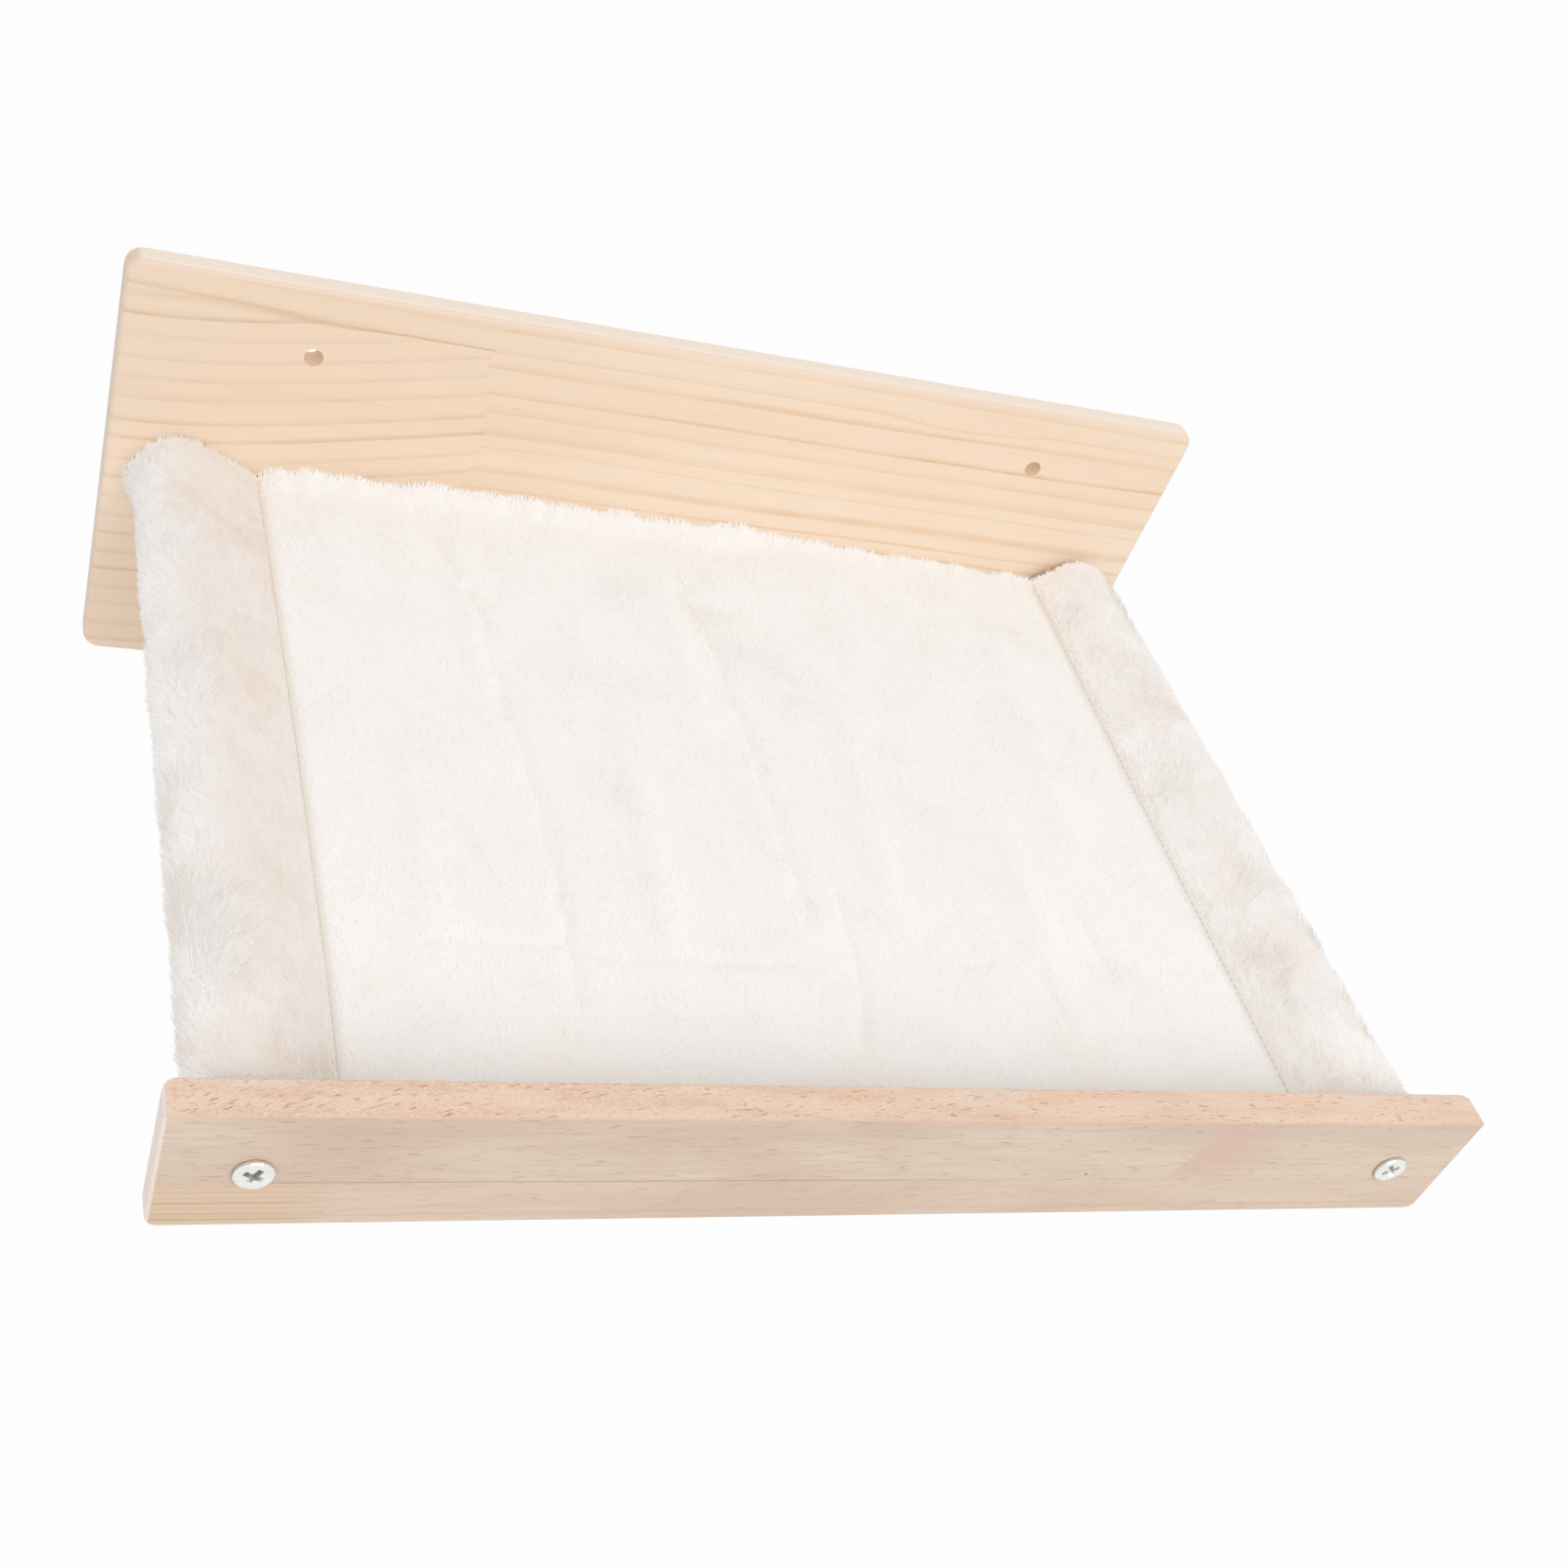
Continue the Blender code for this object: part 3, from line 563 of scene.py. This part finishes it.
# The cloth's edge along the wall board: x, and how far it turns up against the board or stands off it.
TURNED_UP = ((-0.185, 0.0), (-0.158, 0.0005), (-0.147, 0.0030), (-0.135, 0.0042), (-0.104, 0.0040), (-0.094, 0.0054),
             (-0.075, 0.0048), (-0.053, 0.0052), (-0.042, 0.0040), (-0.020, 0.0045), (-0.006, 0.0026),
             (0.004, 0.0030), (0.016, 0.0052), (0.026, 0.0055), (0.038, 0.0030), (0.055, 0.0020), (0.080, 0.0014),
             (0.105, 0.0006), (0.125, 0.0))
OFF_BOARD = ((0.080, 0.0), (0.105, 0.0002), (0.125, 0.0008), (0.140, 0.0016), (0.158, 0.0024), (0.172, 0.0026),
             (0.186, 0.0024))
# How far each seam lies outwards of its mean line, at that y.
LEFT_SEAM = ((-0.296, 0.0018), (-0.276, 0.0008), (-0.250, 0.0), (-0.200, -0.0006), (-0.150, -0.0012),
             (-0.010, -0.0015))
RIGHT_SEAM = ((-0.296, 0.0), (-0.276, 0.0004), (-0.250, 0.0011), (-0.200, 0.0022), (-0.150, 0.0032), (-0.010, 0.0076))


def crease_mask(x, y, width):
    """1 along the middle of a crease, 0 beside it."""
    mask = np.zeros_like(x)
    for points in CREASES:
        for (ax, ay), (bx, by) in zip(points, points[1:]):
            dx, dy = bx - ax, by - ay
            way = np.clip(((x - ax) * dx + (y - ay) * dy) / (dx * dx + dy * dy), 0, 1)
            wavy = 0.0006 * np.sin(y * 260 + ax * 900)
            off = np.hypot(x - ax - way * dx + wavy, y - ay - way * dy)
            mask = np.maximum(mask, bell(off, width))
    return mask


def panel_relief(x, y):
    """How far the panel rises or falls from flat."""
    deep = (y - (CLOTH_BACK + CLOTH_FRONT) / 2) / ((CLOTH_BACK - CLOTH_FRONT) / 2)
    wide = x / SEAM_X
    inside = smooth((1 - np.abs(wide)) * 8)
    sag = 0.001
    rise = -sag * (1 - wide ** 2) * (1 - deep ** 4)
    for across, along, share, turn in FOLDS:
        middle = across + np.tan(np.radians(turn)) * (deep - along) * 0.95
        length = np.clip(1 - ((deep - along) / share) ** 2, 0, 1)
        rise += FOLD_HEIGHT * length * bell((wide - middle) * SEAM_X, FOLD_WIDTH) * inside
    rise += 0.0004 * soft_noise(x, y, 0.022, 3) * inside
    turned_up = read_off(TURNED_UP, x) + 0.0007 * line_noise(x, 0.0045, 9)
    rise += turned_up * bell(CLOTH_BACK - y, 0.007)
    return rise - CREASE_DEPTH * crease_mask(x, y, CREASE_WIDTH) * inside


def relief_slopes(x, y):
    """How steeply the panel rises across and along."""
    step = 0.0003
    return ((panel_relief(x + step, y) - panel_relief(x - step, y)) / (2 * step),
            (panel_relief(x, y + step) - panel_relief(x, y - step)) / (2 * step))


def off_the_mean(side, y):
    """How far outwards a seam is drawn at that y."""
    return np.where(side < 0, read_off(LEFT_SEAM, y), read_off(RIGHT_SEAM, y))


def tangent(drop, sign):
    """The angle and length of a sleeve's straight flank, from a seam at that drop under the dowel's axis."""
    reach = DOWEL_X - SEAM_X
    angle = math.atan2(drop, reach) + sign * math.asin(SLEEVE_RADIUS / math.hypot(reach, drop))
    return angle, math.sqrt(reach ** 2 + drop ** 2 - SLEEVE_RADIUS ** 2)


# From the cloth's middle to its edge: the panel, the upper flank, the turn round the dowel, the lower flank, the hem.
UPPER_ANGLE, UPPER_FLANK = tangent(-PANEL_RISE, 1)
LOWER_ANGLE, LOWER_FLANK = tangent(LOWER_SEAM_DROP, -1)
WRAP = SLEEVE_RADIUS * (UPPER_ANGLE - LOWER_ANGLE + math.pi)
LOWER_SEAM = SEAM_X + UPPER_FLANK + WRAP + LOWER_FLANK
HALF_CLOTH = LOWER_SEAM + HEM_EDGE


def on_cloth(across, along):
    """Where points of the flat cloth lie once it is sewn and stretched.

    across goes from the cloth's middle over a sleeve to the free edge under the seam; along is the y of the point.
    It gives the places, the direction of the pile, and the ways outwards over the cloth and along it.
    """
    side, s = np.where(across < 0, -1.0, 1.0), np.abs(across)
    zero = np.zeros_like(s)
    turn_start, turn_end = SEAM_X + UPPER_FLANK, SEAM_X + UPPER_FLANK + WRAP
    flat = s < SEAM_X
    parts = [flat, s < turn_start, s < turn_end, s < LOWER_SEAM]
    angle = UPPER_ANGLE + math.pi / 2 - (s - turn_start) / SLEEVE_RADIUS
    x = np.select(parts, [s, SEAM_X + (s - SEAM_X) * math.cos(UPPER_ANGLE), DOWEL_X + SLEEVE_RADIUS * np.cos(angle),
                          SEAM_X + (LOWER_SEAM - s) * math.cos(LOWER_ANGLE)], SEAM_X + LOWER_SEAM - s)
    z = np.select(parts, [zero + PANEL_RISE, PANEL_RISE + (s - SEAM_X) * math.sin(UPPER_ANGLE),
                          SLEEVE_RADIUS * np.sin(angle), -LOWER_SEAM_DROP + (LOWER_SEAM - s) * math.sin(LOWER_ANGLE)],
                  zero - LOWER_SEAM_DROP)
    heading = np.select(parts, [zero, zero + UPPER_ANGLE, angle - math.pi / 2, zero + LOWER_ANGLE - math.pi],
                        zero - math.pi)
    tx, tz = np.cos(heading), np.sin(heading)
    steep_over, steep_along = (np.where(flat, slope, 0.0) for slope in relief_slopes(across, along))
    over = unit(np.stack([tx * side, zero, tz + steep_over * side], 1))
    forth = unit(np.stack([zero, zero + 1, steep_along], 1))
    upright = np.stack([-tz * side, zero, tx], 1)
    out = unit(upright - np.stack([steep_over, steep_along, zero], 1))
    lift = np.where(flat, panel_relief(across, along), 0.0)
    # A sleeve is a little full: shallow puckers beside the seam that die out round the dowel
    beside = np.clip((s - SEAM_X) / 0.006, 0, 1) * np.clip((LOWER_SEAM - s) / 0.006, 0, 1)
    full = 0.0012 + 0.0004 * soft_noise(along, across, 0.011, 5) + 0.0002 * soft_noise(along, across, 0.004, 6)
    full = full * (1 - 0.9 * smooth(1 - (CLOTH_BACK - along) / 0.012))
    # and it is pushed outwards where it meets the wall board
    left_bulge, right_bulge = 0.0042, 0.0005
    bulge = np.where(side < 0, left_bulge, right_bulge) * smooth((s - SEAM_X - 0.040) / 0.009)
    full = full + bulge * bell(CLOTH_BACK - 0.003 - along, 0.009)
    lift = lift + np.where(flat | (s > LOWER_SEAM), 0.0, beside * np.maximum(full, 0.0001))
    # The seams aren't quite straight, and the edge stands a little off the wall board at the right
    share = np.select([flat, s < turn_end], [s / SEAM_X, np.clip(1 - (s - SEAM_X) / UPPER_FLANK, 0, 1)],
                      np.clip((s - turn_end) / LOWER_FLANK, 0, 1))
    x = x + share * off_the_mean(side, along)
    y = along - read_off(OFF_BOARD, x * side) * bell(CLOTH_BACK - along, 0.02)
    place = np.stack([x * side, y, z + DOWEL_Z], 1)
    place += np.where(flat[:, None], np.array([0.0, 0.0, 1.0]), out) * lift[:, None]
    return place, out, over, forth


def new_object(name, data, *materials):
    made = bpy.data.objects.new(name, data)
    bpy.context.collection.objects.link(made)
    for material in materials:
        data.materials.append(material)
    return made


def apply_modifier(piece, modifier):
    bpy.ops.object.select_all(action="DESELECT")
    piece.select_set(True)
    bpy.context.view_layer.objects.active = piece
    bpy.ops.object.modifier_apply(modifier=modifier.name)


def sling_cloth(ground, backing):
    """The cloth as one sheet, 1.2 mm thick: pile side out, knit side in."""
    half = np.concatenate([np.linspace(0, SEAM_X, 56), np.linspace(SEAM_X, LOWER_SEAM, 50)[1:],
                           [HALF_CLOTH - HEM_EDGE / 2, HALF_CLOTH]])
    across = np.concatenate([-half[:0:-1], half])
    near_wall = CLOTH_BACK - 0.012
    along = np.concatenate([np.linspace(CLOTH_BACK, near_wall, 12)[:-1], np.linspace(near_wall, CLOTH_FRONT, 105)])
    grid = np.stack(np.meshgrid(across, along, indexing="ij"), -1).reshape(-1, 2)
    points = on_cloth(grid[:, 0], grid[:, 1])[0]
    index = np.arange(len(grid)).reshape(len(across), len(along))
    faces = np.stack([index[:-1, :-1], index[:-1, 1:], index[1:, 1:], index[1:, :-1]], -1).reshape(-1, 4)
    mesh = bpy.data.meshes.new("sling_cloth")
    mesh.from_pydata(points.tolist(), [], faces.tolist())
    flat = mesh.uv_layers.new(name="flat")
    flat.uv.foreach_set("vector", grid[faces.ravel()].astype(np.float32).ravel())
    piece = new_object("sling_cloth", mesh, ground, backing)
    mesh.update()
    if mesh.polygons[len(faces) // 2].normal.z < 0:
        mesh.flip_normals()
    mesh.polygons.foreach_set("use_smooth", np.ones(len(faces), bool))
    wall = piece.modifiers.new("Solidify", "SOLIDIFY")
    wall.thickness, wall.offset, wall.material_offset, wall.use_even_offset = CLOTH_THICKNESS, 0.0, 1, True
    apply_modifier(piece, wall)
    return piece


def tufts(across, along, cell, seed):
    """The tuft that each strand belongs to, as the middle of the nearest of scattered points, one to a cell."""
    size = 256
    scatter = np.random.default_rng(seed).uniform(0.1, 0.9, (size, size, 2))
    i, j = np.floor(across / cell).astype(int), np.floor(along / cell).astype(int)
    nearest, middle = np.full(across.shape, np.inf), np.zeros((len(across), 2))
    for a in (-1, 0, 1):
        for b in (-1, 0, 1):
            spot = scatter[(i + a) % size, (j + b) % size]
            spot = np.stack([(i + a + spot[:, 0]) * cell, (j + b + spot[:, 1]) * cell], 1)
            far = (spot[:, 0] - across) ** 2 + (spot[:, 1] - along) ** 2
            closer = far < nearest
            nearest[closer], middle[closer] = far[closer], spot[closer]
    return middle


def scattered(chance, low, high, density):
    """Places between two lines across the cloth, one at random in each cell of a grid."""
    width, depth = high - low, CLOTH_BACK - CLOTH_FRONT
    count = int(density * width * depth)
    columns = max(1, int(math.sqrt(count * width / depth)))
    rows = count // columns
    grid = np.stack(np.meshgrid(np.arange(columns), np.arange(rows), indexing="ij"), -1).reshape(-1, 2)
    grid = grid + chance.uniform(0, 1, grid.shape)
    return low + grid[:, 0] / columns * width, CLOTH_FRONT + grid[:, 1] / rows * depth


def blades(name, spine, sideways, broad):
    """A mesh with a tapered blade on each spine, and the way over and up a blade of each face corner."""
    count, steps = spine.shape[0], spine.shape[1] - 1
    share = np.linspace(0, 1, steps + 1)
    corners = []
    for k, point in zip(share[:-1], spine[:, :-1].transpose(1, 0, 2)):
        half = sideways * (broad * (1 - 0.55 * k ** 1.5) / 2)[:, None]
        corners += [point - half, point + half]
    corners = np.stack(corners + [spine[:, -1]], 1)
    faces, ways, sizes = [], [], []
    for k in range(steps - 1):
        faces += [2 * k, 2 * k + 1, 2 * k + 3, 2 * k + 2]
        ways += [(0, share[k]), (1, share[k]), (1, share[k + 1]), (0, share[k + 1])]
        sizes.append(4)
    faces += [2 * steps - 2, 2 * steps - 1, 2 * steps]
    ways += [(0, share[-2]), (1, share[-2]), (0.5, 1.0)]
    sizes.append(3)
    loops = (np.array(faces)[None] + np.arange(count)[:, None] * corners.shape[1]).ravel().astype(np.int32)
    totals = np.tile(sizes, count)
    starts = np.concatenate([[0], np.cumsum(totals)[:-1]]).astype(np.int32)
    mesh = bpy.data.meshes.new(name)
    mesh.vertices.add(count * corners.shape[1])
    mesh.vertices.foreach_set("co", corners.astype(np.float32).ravel())
    mesh.loops.add(len(loops))
    mesh.loops.foreach_set("vertex_index", loops)
    mesh.polygons.add(len(starts))
    mesh.polygons.foreach_set("loop_start", starts)
    mesh.polygons.foreach_set("use_smooth", np.ones(len(starts), bool))
    return mesh, np.array(ways, float)


def strand_tones(chance, across, along, middle, crease, seed, mottled, on_top, outside_painted_light):
    """How much paler or darker than the rest each strand is: tone that differs at random and by tuft, with painted
    shade in creases, painted light and shade on slopes, and painted light near the rail and on a sleeve's outer side.
    """
    on_panel = np.abs(across) < SEAM_X
    tone = 0.4 * chance.uniform(-1, 1, len(across)) + 0.7 * soft_noise(across, along, 0.03, seed + 5)
    tone += 0.7 * mottled * soft_noise(middle[:, 0], middle[:, 1], 0.0017, seed + 8)
    # Painted shade in the panel's creases, and painted light and shade on the slopes of its relief, as if lit from one
    # side
    tone += 0.5 * mottled * soft_noise(across, along, 0.009, seed + 6) - 1.8 * crease
    tone -= 9.0 * np.where(on_panel, np.clip(relief_slopes(across, along)[0], -0.4, 0.4), 0.0)
    # A sleeve's upper side has one tone; its outer side gets painted light, where the lamp leaves it in shade, weaker
    # near the wall board
    outside = smooth((np.abs(across) - SEAM_X - 0.024) / 0.020)
    from_wall = 1 - 0.6 * bell(CLOTH_BACK - along, 0.07)
    tone += on_top + (outside_painted_light * from_wall - on_top) * outside
    # Painted light towards the front rail, against the shade that the rail casts on the cloth behind it
    from_rail = along - CLOTH_FRONT
    return tone + np.where(on_panel, 6.5 * bell(from_rail, 0.06) + bell(from_rail, 0.014), 4.0 * bell(from_rail, 0.03))


def strands(name, low, high, material, density, length, width, steps, tuft, gather, flatness, swirl, whirl, seed,
            mottled=1.0, valley=0.005, tone_on_top=0.0, painted_light_outside=0.0):
    """Pile on the cloth between two places across it, each strand a thin tapered blade.

    density is strands to a square metre, gather how far a tuft's tips draw together, flatness how far they lie over,
    swirl the size of the whorls in the way they lie, whirl how far they turn there, mottled how much the tufts differ
    in tone, and valley how wide the pile is short beside a seam.
    """
    chance = np.random.default_rng(seed)
    across, along = scattered(chance, low, high, density)
    count, from_middle = len(across), np.abs(across)
    def noise(cell, number):
        return soft_noise(across, along, cell, seed + number)
    ground, out, over, forth = on_cloth(across, along)
    ground = ground + out * CLOTH_THICKNESS * 0.4
    on_panel = from_middle < SEAM_X
    from_seam = np.minimum(np.abs(from_middle - SEAM_X), np.abs(from_middle - LOWER_SEAM))
    at_wall = smooth(1 - (CLOTH_BACK - along) / 0.007)
    clear = from_seam + 0.004 * at_wall  # the groove closes at the wall board
    bare, stubble = 0.0009, 0.08  # half the groove's width, and the height that is left in it
    tall = length * chance.uniform(0.8, 1.1, count) * (stubble + (1 - stubble) * smooth((clear - bare) / valley))
    tall *= 1 + 0.14 * noise(0.012, 1)
    shorter = np.where(on_panel, 0.1, 0.82)
    tall *= 1 - at_wall * (shorter - (0.32 - 0.24 * shorter) * line_noise(across, 0.005, seed + 7))
    crease = np.where(on_panel, crease_mask(across, along, PILE_CREASE_WIDTH), 0.0)
    tall *= 1 - 0.25 * crease
    # Which way the pile lies, in whorls; beside a seam it leans over the groove, and at an end towards the board
    way = whirl * (noise(swirl, 2) + 0.5 * noise(swirl / 2.6, 3)) + chance.normal(0, 0.25, count)
    lean_over, lean_along = np.cos(way + math.pi / 2), np.sin(way + math.pi / 2)
    near_end = smooth(1 - np.minimum(CLOTH_BACK - along, along - CLOTH_FRONT) / 0.006)
    to_end = np.where(along > (CLOTH_BACK + CLOTH_FRONT) / 2, 1.0, -1.0)
    lean_along = lean_along * (1 - near_end) + to_end * near_end
    beside = smooth(1 - from_seam / 0.005) * ~on_panel
    half_way = (from_middle > SEAM_X) & (from_middle < (SEAM_X + LOWER_SEAM) / 2)
    to_seam = np.where(half_way | (from_middle > LOWER_SEAM), -1.0, 1.0)
    lean_over = lean_over * (1 - beside) + to_seam * beside
    flat = flatness * (1 - 0.45 * near_end) * (1 + 0.25 * chance.uniform(-1, 1, count))
    lean = unit(over * lean_over[:, None] + forth * lean_along[:, None])
    # A tuft's strands draw together towards the tip of the tuft
    middle = tufts(across, along, tuft, seed + 4)
    to_middle = middle - np.stack([across, along], 1)
    pull = gather * (over * (np.sign(across) * to_middle[:, 0])[:, None] + forth * to_middle[:, 1:])
    spine = []
    for k in np.linspace(0, 1, steps + 1):
        reach = tall * flat * k ** 1.15
        height = tall * (k - 0.5 * k * k) * np.sqrt(np.maximum(1 - (flat * 0.75) ** 2, 0.1))
        spine.append(ground + out * height[:, None] + lean * reach[:, None] + pull * (k ** 1.2))
    spine = np.stack(spine, 1)
    # Strands beside a seam end at its groove, as if combed
    ragged = line_noise(along, 0.0032, seed + 9) + 0.8 * line_noise(along, 0.0015, seed + 10)
    groove = clear - 0.0011 + np.where(on_panel, 0.0004, 0.0017) * ragged + chance.normal(0, 0.0002, count)
    towards = (over * to_seam[:, None])[:, None]
    gone = ((spine - ground[:, None]) * towards).sum(2)
    beyond = np.maximum(gone - np.maximum(groove, 0.0002)[:, None], 0) * (from_seam < 0.01)[:, None]
    spine -= towards * beyond[:, :, None]
    # Strands that meet a board stand up against it
    off_wood = 0.0004
    for limit, sign in ((WALL_FACE - off_wood, 1), (RAIL_BACK + off_wood, -1)):
        beyond = np.maximum((spine[:, :, 1] - limit) * sign, 0)
        spine[:, :, 1] -= beyond * sign
        spine += out[:, None, :] * (beyond * np.where(on_panel, 0.4, 0.15)[:, None])[:, :, None]
    heading = unit(spine[:, -1] - spine[:, 0])
    facing = out + 0.15 * chance.normal(0, 1, (count, 3)) - np.array([0.0, 0.8, 0.0]) * (near_end * to_end)[:, None]
    mesh, ways = blades(name, spine, unit(np.cross(heading, facing)), width * chance.uniform(0.7, 1.25, count))
    # Each strand has its own cell in the bake map; the other map holds its tone, painted light and shade included, and
    # the way to its tip
    cells = math.ceil(math.sqrt(count))
    cell = np.stack([np.arange(count) // cells, np.arange(count) % cells], 1)[:, None, :]
    bake = (cell + 0.15 + 0.7 * ways[None]) / cells
    tone = strand_tones(chance, across, along, middle, crease, seed, mottled, tone_on_top, painted_light_outside)
    own = np.stack([np.repeat(tone[:, None], len(ways), 1), np.tile(ways[:, 1], (count, 1))], 2)
    for label, values in (("OFBake", bake), ("strand", own)):
        mesh.uv_layers.new(name=label).uv.foreach_set("vector", values.astype(np.float32).ravel())
    mesh.update(calc_edges=True)
    piece = new_object(name, mesh, material)
    piece.visible_shadow = piece.visible_diffuse = False  # the fibres let light through to each other
    return piece


def seam_thread(name, x, z, material):
    """One row of machine stitches along a seam: a stitch is shaped once and repeated."""
    pitch, stitch, radius, clear_ends = 0.0032, 0.0030, 0.00032, 0.002
    bpy.ops.mesh.primitive_cylinder_add(vertices=6, radius=radius, depth=stitch * 0.6, end_fill_type="NGON",
                                        location=(x, CLOTH_FRONT + clear_ends + pitch / 2, z),
                                        rotation=(math.radians(90), 0, 0))
    piece = bpy.context.object
    piece.name = piece.data.name = name
    bpy.ops.object.transform_apply(location=True, rotation=True, scale=True)
    bpy.ops.object.mode_set(mode="EDIT")
    bpy.ops.mesh.select_mode(type="FACE")
    # Each end is drawn out and down, where the thread goes back into the cloth
    down = -0.0003 if z > DOWEL_Z else 0.0003
    for end in (-1, 1):
        bpy.ops.object.mode_set(mode="OBJECT")
        for face in piece.data.polygons:
            face.select = face.normal.y * end > 0.9
        bpy.ops.object.mode_set(mode="EDIT")
        bpy.ops.mesh.extrude_region_move(TRANSFORM_OT_translate={"value": (0, end * stitch * 0.2, down)})
        bpy.ops.transform.resize(value=(0.55, 1.0, 0.55))
    bpy.ops.object.mode_set(mode="OBJECT")
    row = piece.modifiers.new("Array", "ARRAY")
    row.use_relative_offset, row.use_constant_offset = False, True
    row.constant_offset_displace = (0.0, pitch, 0.0)
    row.count = int((CLOTH_BACK - CLOTH_FRONT - 2 * clear_ends) / pitch)
    apply_modifier(piece, row)
    points = np.empty(len(piece.data.vertices) * 3)
    piece.data.vertices.foreach_get("co", points)
    points = points.reshape(-1, 3)
    points[:, 0] += math.copysign(1, x) * off_the_mean(np.full(len(points), x), points[:, 1])
    piece.data.vertices.foreach_set("co", points.ravel())
    bpy.ops.object.shade_smooth()
    piece.data.materials.append(material)
    return piece


def dress_cad(material, *names):
    for name in names:
        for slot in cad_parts[name].material_slots:
            slot.material = material


def camera_of_photograph():
    data = bpy.data.cameras.new("camera")
    data.lens, data.sensor_width = 45.94, 36.0
    data.shift_x, data.shift_y = 0.0260, 0.1176
    data.clip_start, data.clip_end = 0.01, 100.0
    camera = new_object("camera", data)
    right, up, back = (0.91909, -0.2411, 0.31167), (-0.03539, 0.73725, 0.67469), (-0.39244, -0.63113, 0.66907)
    turned = Matrix((right, up, back)).transposed().to_4x4()
    turned.translation = (-0.2601, -0.6103, 0.3512)
    camera.matrix_world = turned
    bpy.context.scene.camera = camera


def seen_rays(n):
    """1 for rays from the camera, a reflection or a clear material; 0 for light that falls on the object."""
    path = n.add("LightPath").node.outputs
    return n.math("MINIMUM", n.plus(*(path["Is %s Ray" % kind] for kind in ("Camera", "Glossy", "Transmission"))), 1.0)


def studio():
    """A plain white floor far below, an even white surround and one large soft lamp."""
    bpy.context.scene.view_settings.view_transform = "Standard"
    world = bpy.data.worlds.new("studio")
    bpy.context.scene.world = world
    world.use_nodes = True
    n = Nodes(world.node_tree)
    background = world.node_tree.nodes["Background"].inputs
    background["Color"].default_value = (1.0, 1.0, 1.0, 1.0)
    lights, looks = 0.76, 1.0  # it lights the object less than it looks bright
    n.feed(background["Strength"], n.times_plus(seen_rays(n), looks - lights, lights))
    bpy.ops.mesh.primitive_plane_add(size=60.0, location=(0.0, 0.0, -0.9))
    floor = bpy.context.object
    floor.name = "floor"
    material, n, shader = new_material("Pale floor", Base_Color=colour(240, 240, 240), Roughness=0.9,
                                       Specular_IOR_Level=0.0)
    glow = 0.95  # the share of it that looks plain white
    white = n.add("Emission", (1.0, 1.0, 1.0, 1.0), 1.0)
    both = n.add("MixShader", n.times(seen_rays(n), glow), n.tree.nodes["Principled BSDF"].outputs[0], white)
    n.feed(n.tree.nodes["Material Output"].inputs["Surface"], both)
    floor.data.materials.append(material)
    lamp = bpy.data.lights.new("soft lamp", "AREA")
    lamp.shape, lamp.size, lamp.energy = "SQUARE", 1.8, 22.0
    holder = new_object("soft lamp", lamp)
    holder.location = (0.3, -2.2, 1.4)
    holder.rotation_euler = (-(holder.location)).to_track_quat("-Z", "Y").to_euler()


camera_of_photograph()
studio()
dress_cad(pine(), "wall_board")
dress_cad(beech(), "front_rail")
dress_cad(birch(), "left_dowel", "right_dowel")
dress_cad(nickel("Nickel plate, rail bolts", RAIL_BOLT_FACE, 1.0), "left_rail_bolt", "right_rail_bolt")
dress_cad(nickel("Nickel plate, wall bolts", WALL_BOLT_FACE, -1.0), "left_wall_bolt", "right_wall_bolt")
dress_cad(zinc(), "left_front_insert", "right_front_insert", "left_rear_insert", "right_rear_insert")

cloth = sling_cloth(plush_ground(), knit_backing())
panel_pile = pile("Short plush pile, panel", root=colour(245, 242, 238), tip=colour(246, 244, 242),
                  patch=colour(245, 240, 232), patch_amount=0.5, strand_change=0.012)
hem_pile = pile("Long plush pile, sleeves", root=colour(242, 236, 231), tip=colour(247, 243, 240),
                patch=colour(243, 231, 221), patch_amount=0.8, strand_change=0.02)
panel_look = dict(material=panel_pile, density=1.9e6, length=0.0042, width=0.00042, steps=2, tuft=0.0018, gather=0.35,
                  flatness=0.85, swirl=0.026, whirl=0.8)
hem_look = dict(material=hem_pile, density=1.25e6, length=0.0058, width=0.0005, steps=3, tuft=0.0036, gather=0.65,
                flatness=0.9, swirl=0.018, whirl=1.2)
third = SEAM_X / 3
piles = [
    strands("panel_pile_left", -SEAM_X, -third, seed=11, **panel_look),
    strands("panel_pile_middle", -third, third, seed=11, **panel_look),
    strands("panel_pile_right", third, SEAM_X, seed=11, valley=0.0055, **panel_look),
    strands("left_hem_pile", -HALF_CLOTH, -SEAM_X, seed=21, mottled=2.4, tone_on_top=-5.8, painted_light_outside=4.2,
            **hem_look),
    strands("right_hem_pile", SEAM_X, HALF_CLOTH, seed=31, mottled=2.0, valley=0.0055, tone_on_top=-1.0,
            **hem_look),
]
thread_look = thread()
upper_seam, lower_seam, proud = DOWEL_Z + PANEL_RISE, DOWEL_Z - LOWER_SEAM_DROP, 0.0009
threads = [seam_thread(name, x, z, thread_look) for name, x, z in (
    ("left_seam_thread", -SEAM_X, upper_seam + proud), ("right_seam_thread", SEAM_X, upper_seam + 0.00065),
    ("left_seam_thread_below", -SEAM_X, lower_seam - proud), ("right_seam_thread_below", SEAM_X, lower_seam - proud))]
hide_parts("sling_panel", "left_sleeve", "right_sleeve")
for piece in [cloth] + piles + threads:
    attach(piece, "root")
